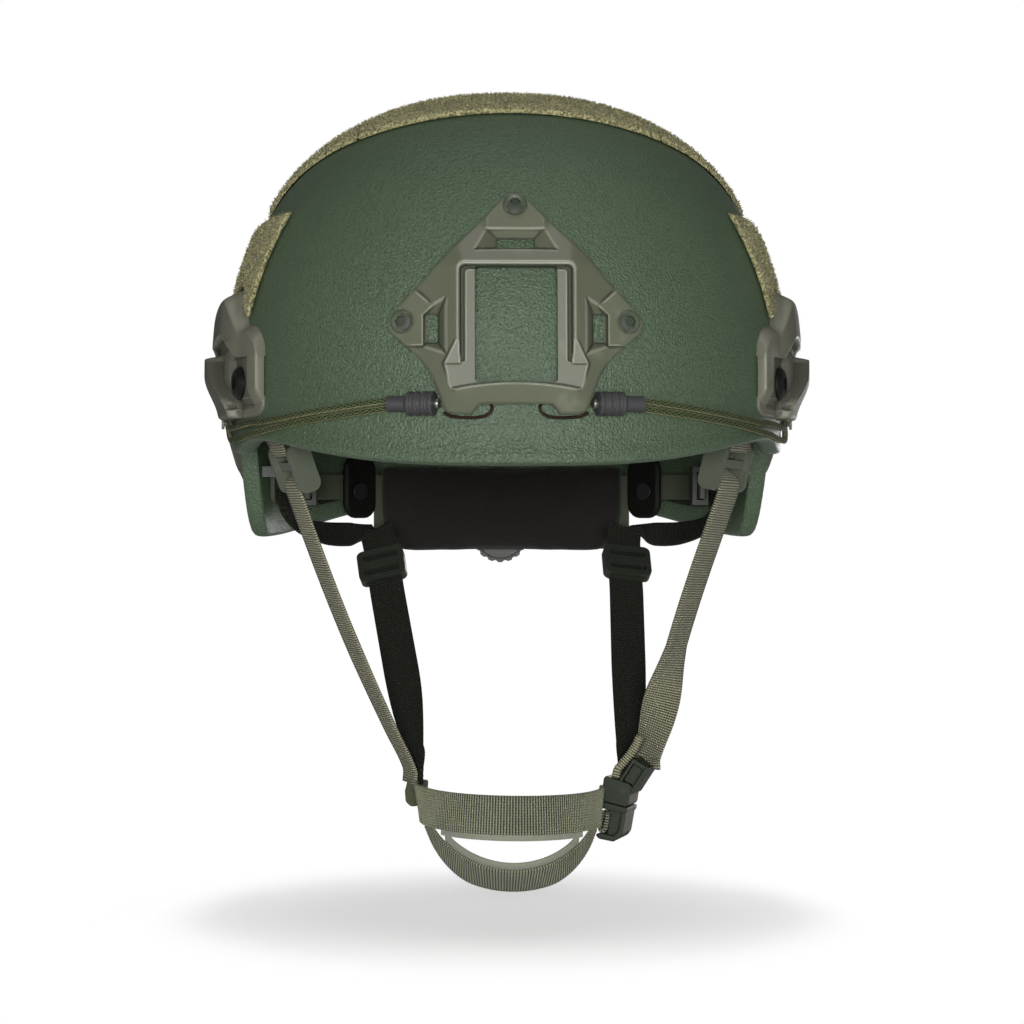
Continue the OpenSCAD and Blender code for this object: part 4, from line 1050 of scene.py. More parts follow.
def shroud_relief(x, z, shape):
    """Outer face of the shroud over the front view, as a Y for each point."""
    ax = np.abs(x)
    plate = -front_y(x, z, 2.8)
    flat = -(SEAT_Y + (z - SHROUD_MID) * math.tan(math.radians(SHROUD_LEAN)))
    # A pyramid falls away from the rim on all sides
    outside = box_outside(x, z, -CREST_X, CREST_X, 30.5, CREST_Z, 3.0)
    pyramid = flat + RIM - 0.80 * np.maximum(outside, 0)
    face = soft_max(plate, pyramid, 1.6)
    # Inside the rim: groove and flat strips
    wall = box_outside(x, z, -GROOVE_OUT, GROOVE_OUT, 10, 77.4, 2.2)
    strips = box_outside(x, z, -STRIP_OUT, STRIP_OUT, 10, 75.8, 1.2)
    off_strips = smooth((strips + 0.1) / 0.8)
    above_foot = z > FOOT_Z
    floor_level = flat - GROOVE_DEEP * off_strips
    inside = floor_level + (RIM + GROOVE_DEEP) * smooth((wall + 0.5) / 1.0)
    face = np.where((wall < 1.2) & above_foot, soft_min(face, inside, 0.3), face)
    # Facets at the strips' feet: the lower is level with the strip, the upper climbs to the rim
    reach = np.where(above_foot, 28.0 - 4.6 * (z - FOOT_Z) / 9.0, 28.0 - 2.4 * (FOOT_Z - z) / 8.5)
    within = 1 - smooth((ax - reach + 0.3) / 0.6)
    hollow = 21.3 + 0.6 * smooth((z - 40) / 5)
    climb = flat + 0.35 + (RIM - 0.35) * np.clip((z - FOOT_Z) / 9.0, 0, 1)
    face = blend(face, climb, within * smooth((ax - hollow) / 0.6 + 0.5) * above_foot * (z < 48.3))
    filled = flat - GROOVE_DEEP * smooth((z - 39.5) / 1.4) * off_strips
    share = within * (z <= FOOT_Z) + above_foot * (z < 41.0) * (ax <= hollow)
    face = blend(face, np.where(above_foot, filled, flat), share)
    # Bar under the window, with an edge that bows upwards
    bow = 31.5 - 2.0 * (np.minimum(ax, 25.5) / 21.2) ** 2
    bar = flat + BAR_RISE - 0.55 * np.maximum(bow - z, 0)
    lifted = np.maximum(face, flat + BAR_RISE * (1 - smooth((z - bow) / 1.0)))
    above_bar = np.where((ax < reach - 0.5) & (z < 34), lifted, face)
    face = np.where(z < bow, soft_min(bar, pyramid, 1.0), above_bar)
    # Valleys beside the rim, and the scoop over the latch slot
    thin = -front_y(x, z, 1.3)
    rise = np.maximum(2.3 * (30.2 - ax), np.maximum(1.15 * (z - 58.8), 1.5 * (47.8 - z)))
    face = np.where(ax > 20, soft_min(face, thin + np.maximum(rise, 0), 0.8), face)
    rise = np.maximum(1.0 * (z - 89.0), np.maximum(0.95 * (ax - 7.3), 7 * (84.9 - z)))
    face = soft_min(face, thin + np.maximum(rise, 0), 0.35)
    # Flat bosses under the screws
    boss = tangent_level(ax, z, SHROUD_SCREW_X, SHROUD_SCREW_Z, SCREW_SEAT)
    inner_side = np.maximum(ax - 35.7, 0.71 * (ax - 31.9) + 0.71 * (z - 62.1))
    upper_side = 0.4 * (0.68 * (ax - 31.9) - 0.73 * (z - 62.1))
    limit = np.minimum(np.minimum(inner_side, z - 46.3), upper_side)
    face = blend(face, boss, smooth(limit / 0.5 + 0.4))
    step = smooth((z - 92.0) / 1.4) * (1 - smooth((ax - 10.5) / 3.0))
    face = blend(face, tangent_level(ax, z, 0, SHROUD_TOP, SCREW_SEAT), step)
    # Rounded outer edge
    near = np.clip(edge_distance(x, z, shape) / 1.4, 0, 1)
    return -(face - 1.2 * (1 - np.sqrt(np.maximum(1 - (1 - near) ** 2, 0))))


# %% [markdown]
# The relief becomes a wall with a back that follows the shell. Its outline, window, slots and screw
# holes are cut through it with Boolean modifiers, which keep the walls of the holes straight.


# %% Cutting the shroud
def mark_edges(body, outer, shape):
    """Stores how sharply the relief turns, for the pale edges, partly wear and partly painted highlight,
    and the painted shade in corners of the plastic.
    """
    turn = turn_of(-outer[..., 1])
    soft = turn.copy()
    soft[1:-1, 1:-1] = (
        turn[1:-1, 1:-1] * 2 + turn[2:, 1:-1] + turn[:-2, 1:-1] + turn[1:-1, 2:] + turn[1:-1, :-2]
    ) / 6
    co = coordinates(body) / MM
    j = np.clip(np.rint((co[:, 0] - outer[0, 0, 0]) / RELIEF_STEP).astype(int), 0, turn.shape[1] - 1)
    i = np.clip(np.rint((co[:, 2] - outer[0, 0, 2]) / RELIEF_STEP).astype(int), 0, turn.shape[0] - 1)
    front = np.abs(co[:, 1] - outer[i, j, 1]) < 0.8
    inside = np.clip(edge_distance(co[:, 0], co[:, 2], shape) / 2.5, 0.25, 1)
    store_edge(body, np.where(front, np.clip(soft[i, j] / 0.14, -1, 1) * inside, 0.0))


def make_shroud(shape):
    x, z = np.meshgrid(np.arange(-52, 52.01, RELIEF_STEP), np.arange(17, 111.01, RELIEF_STEP))
    outer = np.stack([x, shroud_relief(x, z, shape), z], -1)
    back = np.maximum(front_y(x, z, SEAT), outer[..., 1] + 0.4)
    body = mesh_object("shroud_moulded", *two_sided(outer, np.stack([x, back, z], -1)))
    clean_normals(body)
    cut(body, prism("outline", shape), "INTERSECT")
    holes = [pill_shape(0, 54.6, 2 * STRIP_IN, 45, 1.2), pill_shape(0, 86.95, 14.2, 3.9, 0.6)]
    for s in (-1, 1):
        holes.append(pill_shape(s * 32.4, 53.3, 4.3, 10.8, 1.2))
        holes.append(pill_shape(s * SHROUD_SCREW_X, SHROUD_SCREW_Z, 5.6, 5.6, 2.79))
    holes.append(pill_shape(0, SHROUD_TOP, 5.6, 5.6, 2.79))
    tools = [prism("hole", hole) for hole in holes]
    # Two shallow pockets from below take the tips of the wire hooks
    tools += [prism("pocket", pill_shape(s * 9.2, 20.5, 4.4, 14, 0.2), -142.5, -130) for s in (-1, 1)]
    cut(body, joined("holes", tools))
    mark_edges(body, outer, shape)
    smooth_by_angle(body, 40)
    finish_piece(body, "helmet", ["front_shroud"])
    print("shroud faces:", len(body.data.polygons))


make_shroud(shroud_outline)

# %% [markdown]
# The rails run along the helmet's sides and carry lamps and headsets. They are reliefs too, laid over the
# shell: a plate in front with a sunken seat for the screw, then a body, a channel below it, and a lip that
# starts as a fin. Angles are degrees round the shell, offsets millimetres off it.

# %% Side rails
RAIL_U0, RAIL_U1 = 50.0, 122.0
RAIL_SCREW, RAIL_REAR = (59.0, 36.0), (114.0, 2.0)
PLATE_OFF, BODY_OFF, FIN_OFF, CHANNEL_OFF, SCREW_OFF = 4.6, 9.2, 12.4, 5.4, 2.8
# Millimetres per degree round the shell, at the front screw, at the rear screw and on average
ARC_FRONT, ARC_REAR, ARC_MEAN = 2.32, 2.15, 2.25


def rounded_end(distance, reach):
    """1 at an end, falling to 0 at reach from it, along a quarter circle."""
    return 1 - np.sqrt(np.clip(1 - (1 - np.clip(distance / reach, 0, 1)) ** 2, 0, 1))


def rail_top_z(u):
    u = np.asarray(u, float)
    return (
        77.0
        - 17 * (1 - smooth((u - 58) / 8))
        - 13 * rounded_end(u - 50, 7)
        - 12 * smooth((u - 66) / 20)
        - 53 * smooth((u - 84) / 38)
        - 6 * rounded_end(122 - u, 7)
    )


def rail_low_z(u):
    rise = TEMPLE_RISE + EAR_RISE + 2.5
    low = 21.5 + (rise - 21.5) * smooth((u - 72) / 14) - (rise + 18) * smooth((u - 92) / 26)
    return low + 5 * rounded_end(u - 50, 4) + 8 * rounded_end(122 - u, 7)


def fin_start(z):
    """The fin starts further back the higher up it is."""
    return 60.5 + 11.5 * np.clip((z - 25) / 22, 0, 1) ** 1.15


def rail_off(u, t, z):
    """How far the rail's outer face stands off the shell, for an angle and a share of its height."""
    fade = 1 - 0.45 * smooth((u - 84) / 26)
    start = fin_start(z)
    body = PLATE_OFF + (BODY_OFF - PLATE_OFF) * smooth((u - 57.5) / 8.5) * fade
    lip = PLATE_OFF + (FIN_OFF - PLATE_OFF) * smooth((u - start) / 2.0) * fade
    channel = PLATE_OFF + (CHANNEL_OFF - PLATE_OFF) * smooth((u - 66) / 8) * fade
    crest = body * smooth((1.0 - t) / 0.10 * 0.8 + 0.2)
    off = blend(channel, crest, smooth((t - 0.58) / 0.06))
    off = blend(off, lip - 5.5 * (1 - smooth(t / 0.34)), 1 - smooth((t - 0.51) / 0.035))
    # A rounded bump lies between the seat and the channel
    bump = np.exp(-(((u - 64.5) / 1.9) ** 2)) * smooth((z - 25) / 6) * (1 - smooth((z - 47) / 8))
    off += 2.6 * bump * (1 - smooth((u - start + 1) / 3))
    return np.maximum(off, 1.0)


def rail_shade(u, t, z, off, edge):
    """The rail's edge attribute: above 0 on ridges; below 0 for painted shade in the channel before the
    fin, in the seat and over the rail behind the plate.
    """
    before_fin = 1 - smooth((u - fin_start(z) - 2.4) / 0.5)
    painted_channel_shade = smooth((u - 61.8) / 1.5) * before_fin * smooth((z - 24) / 12)
    painted_channel_shade *= 1 - smooth((t - 0.52) / 0.08)
    seat = np.maximum(abs((u - 58.2) * ARC_FRONT) - 10.6, abs(z - RAIL_SCREW[1]) - 11)
    value = np.clip(turn_of(off) / 0.3, -1, 1) * np.clip(edge / 3, 0.2, 1)
    # Painted shade in the channel, and painted shade over the whole rail behind the plate
    value = np.minimum(value, 1 - 2.0 * painted_channel_shade) - 0.6 * smooth((u - 56) / 7)
    # Painted shade in the sunken seat round the front screw
    return value - 0.6 * (1 - smooth((seat + 0.5) / 1.0))


# %% [markdown]
# One rail is made for each side from the same numbers, with X turned round for the left one. The seats
# for the screws are sunk into its face, and the outer edge is rounded.


# %% Both rails
def make_rail(name, s):
    u, t = np.meshgrid(np.linspace(RAIL_U0, RAIL_U1, 250), np.linspace(0, 1, 116))
    low, top = rail_low_z(u), rail_top_z(u)
    z = low + (top - low) * t
    off = rail_off(u, t, z)
    # Sunken seats: a box round the front screw, a circle round the rear one
    seat_low, seat_high = RAIL_SCREW[1] - 10.4, RAIL_SCREW[1] + 10.4
    gap = box_outside((u - RAIL_SCREW[0]) * ARC_FRONT, z, -11.6, 8.0, seat_low, seat_high, 1.6)
    off = np.where(gap < 2.2, np.minimum(off, SCREW_OFF + np.maximum(gap, 0) * 4.0), off)
    gap = np.hypot((u - RAIL_REAR[0]) * ARC_REAR, z - RAIL_REAR[1]) - 7.6
    off = np.where(gap < 2.2, np.minimum(off, SCREW_OFF + np.maximum(gap, 0) * 4.0), off)
    ends = np.minimum(u - RAIL_U0, RAIL_U1 - u) * ARC_MEAN
    edge = np.minimum(np.minimum(t * (top - low), (1 - t) * (top - low)), ends)
    off = off - 1.3 * rounded_end(edge, 1.6)
    outer, inner = skin(u, z, off) * (s, 1, 1), skin(u, z, SEAT) * (s, 1, 1)
    made = mesh_object(name + "_moulded", *two_sided(outer, inner))
    clean_normals(made)
    store_edge(made, np.concatenate([rail_shade(u, t, z, off, edge).ravel(), np.zeros(u.size)]))
    smooth_by_angle(made, 45)
    finish_piece(made, "helmet", [name])
    print(name, "faces:", len(made.data.polygons))


make_rail("rail_left", -1)
make_rail("rail_right", 1)

# %% [markdown]
# Webbing is a flat strip that turns as it goes. A strip between two edge curves would lose its
# thickness, so each strap is a loft: a ring of points at each step of a smooth path, with the ribs of the
# weave as real steps in its thickness, and a UV map in metres along and across it.


# %% Webbing helpers
def run_and_tangent(path):
    """The distance along a dense path at each of its points, and the direction there."""
    run = np.concatenate([[0], np.cumsum(np.linalg.norm(np.diff(path, axis=0), axis=1))])
    tangent = np.gradient(path, axis=0)
    tangent /= np.linalg.norm(tangent, axis=1, keepdims=True)
    return run, tangent


def loft_faces(count, m):
    """The faces of a closed loft of count rings with m points each."""
    faces = grid_faces(count, m, closed=True)
    faces.append(tuple(range(m))[::-1])
    faces.append(tuple(range((count - 1) * m, count * m)))
    return faces


def strip(name, points, across, width, thick, pitch=1.1, rib=0.1, narrow=None):
    """A ribbed strap along a path in millimetres, with a sideways vector at each of its points."""
    path, share = spline(points, pitch / 4)
    keys = np.arange(len(points))
    side = np.stack([np.interp(share, keys, np.asarray(across, float)[:, c]) for c in range(3)], -1)
    run, tangent = run_and_tangent(path)
    side -= tangent * np.sum(side * tangent, axis=1, keepdims=True)
    side /= np.linalg.norm(side, axis=1, keepdims=True)
    face = np.cross(tangent, side)
    # The section: two flat faces with an edge 0.35 mm round
    low_w = width / 2 - 0.35
    section = [(-low_w + 2 * low_w * k / 6, -thick / 2) for k in range(7)]
    section += [(width / 2, -thick / 4), (width / 2, thick / 4)]
    section += [(low_w - 2 * low_w * k / 6, thick / 2) for k in range(7)]
    section += [(-width / 2, thick / 4), (-width / 2, -thick / 4)]
    points_out, uvs = [], []
    share_w = np.ones(len(path)) if narrow is None else np.interp(share, keys, narrow)
    for i in range(len(path)):
        swell = 1 + rib * math.cos(2 * math.pi * run[i] / pitch)
        for a, b in section:
            points_out.append(path[i] + side[i] * a * share_w[i] + face[i] * b * swell)
            uvs.append((a * MM, run[i] * MM))
    made = mesh_object(name, np.array(points_out) * MM, loft_faces(len(path), len(section)), uvs)
    clean_normals(made, merge=0)
    smooth_by_angle(made, 50)
    print(name, "length:", round(float(run[-1]), 1), "mm")
    return made


def mix3(a, b, t):
    return np.asarray(a, float) + (np.asarray(b, float) - np.asarray(a, float)) * t


def unit(v):
    v = np.asarray(v, float)
    return v / np.linalg.norm(v)


# %% [markdown]
# The front straps hang from the ladder locks and meet the buckle on one side and the junction on the
# other. Each is threaded through its lock: up behind it, over the bars and down again in front. The
# route is a few points in the lock's own axes, then an almost straight run that sags a little.

# %% Front straps
WEB_W, WEB_T = 16.0, 1.5
JUNCTION = np.array([-45.0, 0.0, -139.0])
left_lock, right_lock = np.array([-92.0, -42.0, 1.0]), np.array([93.5, -42.0, 2.0])
LEFT_TURN, RIGHT_TURN = 66, 52
left_end = np.array([JUNCTION[0] + 2.1, -19.5, JUNCTION[2] + 2.5])
BUCKLE = np.array([49.3, -25.0, -139.7])
BUCKLE_LEAN, FRAME_TURN = 10.0, 23.0


def buckle_dir(a):
    return np.array([sin_d(a), 0.0, cos_d(a)])


bar_top = (
    BUCKLE
    + 5.8 * buckle_dir(BUCKLE_LEAN + 90)
    + 8.2 * buckle_dir(BUCKLE_LEAN)
    + buckle_dir(BUCKLE_LEAN + FRAME_TURN) * 6.85
)
right_end = bar_top + np.array([1.4, 3.0, -3.5])
right_rear_end = bar_top + np.array([-5.0, 14.0, -7.0])


def lock_axes(at, end, turn):
    """A ladder lock's axes: across its bars, up the strap and out of its face."""
    y = unit(at - end)
    a = np.array([cos_d(turn), -sin_d(turn) * np.sign(-at[0]), 0.0])
    x = unit(a - y * (a @ y))
    return x, y, np.cross(x, y)


THREADED = [
    (5, -3.9),
    (1.2, -3.9),
    (-1.6, -3.8),
    (-3.4, -2.4),
    (-4.3, 0),
    (-5.2, 1.8),
    (-6.8, 3.3),
    (-9.8, 3.9),
    (-13, 3.9),
]


def front_strap(name, node, at, end, turn, end_across):
    x, y, z = lock_axes(at, end, turn)
    route = [at + y * a + z * b for a, b in THREADED]
    for k in range(1, 8):
        sag = np.array([2.2 * math.sin(math.pi * k / 7), 0, 0])
        route.append(mix3(at + z * 3.9 - y * 13, end + np.array([0, 0, 6.0]), k / 7) - sag)
    route.append(end)
    count = len(route)
    across = [mix3(x, end_across, min(1, max(0, (k - count + 5) / 3))) for k in range(count)]
    finish_piece(strip(name, route, across, WEB_W, WEB_T), "helmet", [node])


left_across = (cos_d(70), -sin_d(70), 0)
front_strap("front_strap_left_web", "front_strap_left", left_lock, left_end, LEFT_TURN, left_across)
right_across = (0.52, -0.78, -0.34)
front_strap("front_strap_right_web", "front_strap_right", right_lock, right_end, RIGHT_TURN, right_across)

# %% [markdown]
# The tabs come out from under the anchor plates and hold the ladder locks. The rear straps come from the
# rear plates, turn inwards behind the ears, pass through the sliders and end with the front ones. The neck
# strap joins them behind the neck. Their routes leave the shell along its own surface.

# %% Tabs, rear straps and neck strap
ANCHOR_OFF = SHELL_T + 1.5 + 2.0
left_slider, right_slider = np.array([-58.0, 53.0, -36.0]), np.array([57.0, 50.0, -35.0])
left_rear_end = np.array([JUNCTION[0] + 4.8, -18.0, JUNCTION[2] + 2.5])
REAR_BEND = np.array([0.0, 4.5, 12.0])


def strap_at(u, z, down, d):
    """A point of a strap d millimetres below an anchor plate."""
    return skin(u, z, 0) - skin_normal(u, z) * (ANCHOR_OFF + WEB_T / 2 + 0.35) + np.asarray(down) * d


def front_tab(name, node, at, end, turn):
    s = np.sign(at[0])
    u, rail_z = s * RAIL_SCREW[0], RAIL_SCREW[1]
    x, y, z = lock_axes(at, end, turn)
    n = skin_normal(u, rail_z)
    along = skin_along(u, rail_z)
    down = along * s * sin_d(24) - np.array([0, 0, cos_d(24)])
    level = along * cos_d(24) + np.array([0, 0, s * sin_d(24)])
    route = [
        strap_at(u, rail_z, down, 9.5),
        strap_at(u, rail_z, down, 15.5) - n * 0.5,
        strap_at(u, rail_z, down, 18.5) - n * 2,
        at + y * 16 + z * 4.8,
        at + y * 11.5 + z * 4.2,
        at + y * 7 + z * 4,
    ]
    across = [level, level, level, mix3(level, x, 0.7), x, x]
    finish_piece(strip(name, route, across, WEB_W, WEB_T), "helmet", [node])


front_tab("front_tab_left_web", "front_tab_left", left_lock, left_end, LEFT_TURN)
front_tab("front_tab_right_web", "front_tab_right", right_lock, right_end, RIGHT_TURN)


def rear_strap(name, node, at, end, end_across):
    s = np.sign(at[0])
    u, rail_z = s * RAIL_REAR[0], RAIL_REAR[1]
    slot = strap_at(u, rail_z, (0, 0, -1), 11.5)
    n = skin_normal(u, rail_z)
    along = s * skin_along(u, rail_z)
    low = end + REAR_BEND
    route = [
        slot + (0, 0, 2),
        slot - np.array([0, 0, 4.5]) - n * 0.3,
        slot - np.array([0, 0, 8]) - n * 1.2,
        (s * 95, 57, -24.5),
        (s * 84, 60.5, -28),
        (s * 72, 63, -28.5),
        (s * 63.5, 61.5, -27.5),
        mix3(at, low, -0.1),
        mix3(at, low, 0.25),
        mix3(at, low, 0.6),
        mix3(at, low, 0.8),
        low,
        end + (0, 0, 5),
        end,
    ]
    level = np.array([s, 0.25, 0])
    across = [-along, -along, -along, (0, -0.9, -0.4), (s * 0.2, -0.75, -0.5), (s * 0.45, -0.6, -0.5)]
    across += [(s * 0.8, -0.3, -0.3), level, level, level, mix3(level, end_across, 0.5)]
    across += [end_across] * 3
    finish_piece(strip(name, route, across, WEB_W, WEB_T), "helmet", [node])


left_across = (-cos_d(70), sin_d(70), 0)
rear_strap("rear_strap_left_web", "rear_strap_left", left_slider, left_rear_end, left_across)
rear_strap("rear_strap_right_web", "rear_strap_right", right_slider, right_rear_end, (0.75, 0.6, 0))

neck_ends = [skin(s * 117, -10.5, -ANCHOR_OFF - 1.5 * WEB_T) for s in (-1, 1)]
neck_route = [neck_ends[0]]
for a in range(-52, 53, 8):
    sink = 4.5 * float(smooth((abs(a) - 36) / 20))
    neck_route.append((114.5 * sin_d(a), 114.5 * cos_d(a) + 2, -6 - sink))
neck_route.append(neck_ends[1])
neck_strap = strip("neck_strap_web", neck_route, [(0, 0, 1)] * len(neck_route), 10, WEB_T)
finish_piece(neck_strap, "helmet", ["nape_strap"])

# %% [markdown]
# The chin cup is two bands in a U, one below the mouth and one under the chin, each with a softer lining
# that stands out past its edge. They are lofts like the straps, with a coarser rib. The upper band is cut
# at a slant, and the lower one narrows to its ends, where it is sewn to the upper.

# %% Chin cup
cup_left = np.array([JUNCTION[0] + 6.5, -25.0, JUNCTION[2] - 4])
cup_right = np.array([58.5 - 19, -27.0, JUNCTION[2] - 6])
CUP_STEPS = 20
CUP_PITCH, CUP_RIB = 1.18, 0.14
LINING_T, LINING_PITCH, LINING_RIB = 1.4, 2.0, 0.02


def cup_point(t, reach, drop, widen, narrow, bend=0.8):
    """A point of a band, t from 0 at its left end to 1 at its right."""
    a = 180 * t
    mid = (cup_left + cup_right) / 2
    half = (cup_right[0] - cup_left[0]) / 2 - narrow
    s = max(0.0, float(sin_d(a)))
    return np.array(
        [
            mid[0] - half * cos_d(a) * (1 + widen * s),
            mid[1] - (reach + mid[1]) * s**bend,
            cup_left[2] + (cup_right[2] - cup_left[2]) * t - drop * s**1.2,
        ]
    )


def upper_slant(t):
    """How far the upper band's cross direction leans at its two ends."""
    return -0.24 * max(0, 1 - t * 6) + 0.16 * max(0, t * 6 - 5)


steps = [k / CUP_STEPS for k in range(CUP_STEPS + 1)]
upper_route = [cup_point(t, 90, -2, 0.14, 0, 1.1) for t in steps]
lower_route = [cup_point(t, 76, 27, 0.04, -0.3) for t in steps]
upper_across = [np.array([upper_slant(t), 0.12, 1.0]) for t in steps]
lower_across = [np.array([0, -1.25 * sin_d(180 * t), 1.0]) for t in steps]


def inset(route, across, d, lift):
    """The same route on the band's inner side."""
    moved = []
    for i in range(len(route)):
        t = unit(route[min(i + 1, len(route) - 1)] - route[max(i - 1, 0)])
        moved.append(route[i] - unit(np.cross(t, across[i])) * d + unit(across[i]) * lift)
    return moved


def cup_band(node, route, across, narrow=None):
    made = strip(node + "_web", route, across, WEB_W, WEB_T, CUP_PITCH, CUP_RIB, narrow)
    finish_piece(made, "chin_cup", [node])


def cup_lining(node, route, across, lift):
    inner = inset(route, across, (WEB_T + LINING_T) / 2 + 0.3, lift)
    made = strip(node + "_knit", inner[5:16], across[5:16], WEB_W, LINING_T, LINING_PITCH, LINING_RIB)
    finish_piece(made, "chin_cup", [node])


cup_band("chin_band_upper", upper_route, upper_across)
lower_route_cut, lower_across_cut = lower_route[3:18], lower_across[3:18]
lower_last = len(lower_route_cut) - 1
lower_width = [1 - 0.62 * max(0.0, 1 - min(k, lower_last - k) / 4.0) ** 1.3 for k in range(lower_last + 1)]
lower_path = []
for point, side, share in zip(lower_route_cut, lower_across_cut, lower_width):
    lower_path.append(point + unit(side) * (1 - share) * WEB_W / 2)
cup_band("chin_band_lower", lower_path, lower_across_cut, lower_width)
cup_lining("chin_lining_upper", upper_route, upper_across, -2.5)
cup_lining("chin_lining_lower", lower_route, lower_across, 3)

# %% [markdown]
# The buckle is seen from its edge. Its lower half is a channel open to the cup, with the webbing folded
# round its bar, and its upper half a stepped housing with a frame for the straps. A softened copy of the
# solid would be too plain, so each half is a few profiles drawn in its own plane and extruded.


# %% Buckle
BUCKLE_TURN = 15.0
FRAME_AT = (5.8, 8.2)


def in_buckle(x, y, z):
    """A point of the buckle's own frame in the shared one, leaned in X-Z and turned about its axis."""
    sideways = x * cos_d(BUCKLE_TURN) + y * sin_d(BUCKLE_TURN)
    back = y * cos_d(BUCKLE_TURN) - x * sin_d(BUCKLE_TURN)
    flat = BUCKLE + sideways * buckle_dir(BUCKLE_LEAN + 90) + np.array([0, back, 0])
    return flat + z * buckle_dir(BUCKLE_LEAN)


def moulded_slab(name, outline, half_y, soft=0.5, lean=0.0, at=(0.0, 0.0), low_y=None):
    """A profile in the buckle's X-Z plane, leaned about a point and extruded to half_y on both sides."""
    low_y = -half_y if low_y is None else low_y
    ring = []
    for x, z in outline:
        leaned = (x * cos_d(lean) + z * sin_d(lean), -x * sin_d(lean) + z * cos_d(lean))
        ring.append((at[0] + leaned[0], at[1] + leaned[1]))
    n = len(ring)
    points = [in_buckle(x, y, z) * MM for y in (low_y, half_y) for x, z in ring]
    faces = [tuple(range(n)), tuple(range(2 * n - 1, n - 1, -1))]
    faces += [(i, (i + 1) % n, (i + 1) % n + n, i + n) for i in range(n)]
    made = mesh_object(name, points, faces)
    clean_normals(made)
    bevel(made, soft * MM, 2, 25)
    return made


def framed_slab(name, x0, x1, z0, z1, half_y, soft=0.5):
    """One bar of the frame that holds the straps."""
    outline = [(x0, z0), (x1, z0), (x1, z1), (x0, z1)]
    return moulded_slab(name, outline, half_y, soft, FRAME_TURN, FRAME_AT)


def buckle_half(name, parts, body):
    made = joined(name + "_moulded", parts)
    # The broad outer face gets the pale colour as a painted reflection of the white backdrop
    store_edge(made, [0.75 if face.normal.x > 0.85 else 0.0 for face in made.data.polygons], "FACE")
    level_shading(made)
    finish_piece(made, body, [name])
    print(name, "parts:", len(parts))


housing_profile = [(-6.2, -4.6), (5.2, -5.4), (6.2, -4.2), (6.0, 3.6), (4.9, 4.8)]
housing_profile += [(-5.6, 6.2), (-6.4, 5.2)]
housing = [
    moulded_slab("housing", housing_profile, 11.6),
    moulded_slab("housing_ledge", [(-6.6, 1.0), (-5.4, 1.0), (-5.4, 2.2), (-6.6, 2.2)], 9.0, 0.3),
    framed_slab("frame_outer_side", 2.4, 4.2, -6.8, 7.0, 11.2),
    framed_slab("frame_inner_side", -4.2, -2.6, -6.0, 6.4, 11.2),
    framed_slab("frame_top_bar", -3.6, 3.6, 4.6, 6.7, 10.9),
    framed_slab("frame_low_bar", -3.6, 3.6, -6.4, -4.0, 10.9),
    framed_slab("frame_web", -3.2, 3.0, -4.9, 5.4, 6.8, 0.3),
]
buckle_half("buckle_female", housing, "helmet")
roof_profile = [(-6.0, -7.8), (5.9, -8.3), (6.3, -6.9), (6.1, -5.6), (-6.2, -5.0), (-6.5, -6.0)]
wall_profile = [(3.6, -8.0), (5.8, -8.2), (5.8, -17.2), (4.6, -19.6)]
wall_profile += [(2.2, -21.0), (1.6, -19.0), (3.0, -17.4), (3.6, -16.0)]
floor_profile = [(-5.8, -19.8), (-4.2, -21.2), (2.6, -21.2), (3.4, -19.4), (1.6, -18.8), (-4.6, -18.6)]
core_profile = [(-1.2, -19.2), (4.2, -19.2), (4.2, -8.0), (-1.2, -8.0)]
channel = [
    moulded_slab("channel_roof", roof_profile, 11.9, 0.35),
    moulded_slab("channel_wall", wall_profile, 11.1),
    moulded_slab("channel_floor", floor_profile, 11.0),
    moulded_slab("channel_core", core_profile, 10.6, 0.3, low_y=-8.0),
]
buckle_half("buckle_male", channel, "chin_cup")

# %% [markdown]
# On the left the straps are gathered by a small sewn block, which is drawn like a part of the buckle and
# moved over. A fold of webbing goes round the buckle's lower bar, and the right strap's loose tail hangs
# beside it. These two are seen in the photograph but have no solid of their own.

# %% Junction, fold and tail
knot_profile = [(-4, 5.2), (3.2, 5.8), (3.8, -1), (2.6, -5.4), (-0.5, -6.2), (-3.2, -4.6), (-4.4, 0)]
knot = moulded_slab("junction_slider_moulded", knot_profile, 5, 0.9)
knot_place = JUNCTION + np.array([5.2, -19.0, -1.8])
for vertex in knot.data.vertices:
    vertex.co += Vector((knot_place - BUCKLE) * MM)
smooth_by_angle(knot)
finish_piece(knot, "helmet", ["junction_slider"])
knot.data.materials[0] = FINISH["junction_cloth"]

buckle_across = in_buckle(0, 1, 0) - in_buckle(0, 0, 0)
fold_profile = [(-4.9, -9.6), (-4.9, -16.2), (-4.2, -17.6), (-3.1, -17.6), (-2.4, -16.2), (-2.4, -9.6)]
fold_route = [in_buckle(x, 0, z) for x, z in fold_profile]
fold = strip("chin_fold_web", fold_route, [buckle_across] * 6, 20, WEB_T, CUP_PITCH, CUP_RIB)
finish_piece(fold, "chin_cup", slot="chin_webbing")
tail_profile = [(-2.2, 11), (-4.6, 6.4), (-7.4, 2.4), (-9.8, -0.4), (-11.8, -2.8), (-12.8, -6.5)]
tail_route = [bar_top + np.array([x, -4, z]) for x, z in tail_profile]
tail = strip("strap_tail_web", tail_route, [buckle_across] * 6, 10, 3.4)
finish_piece(tail, "helmet", slot="strap_green")

# %% [markdown]
# The bungees are a braided sleeve over rubber. A curve with a round bevel would do for the shape, but its
# braid has to follow the cord, so a tube is lofted with a UV map round and along it. Each cord runs from
# its sleeve along the brim to a post under the rail, round it, and back.


# %% Bungees
CORD_R, SLEEVE_Z, TURN_U, RAIL_LOW = 1.3, 24.0, 78.0, 21.5
SLEEVE_U = float(np.degrees(np.arcsin(48 / plan_r(19.5, 0))))


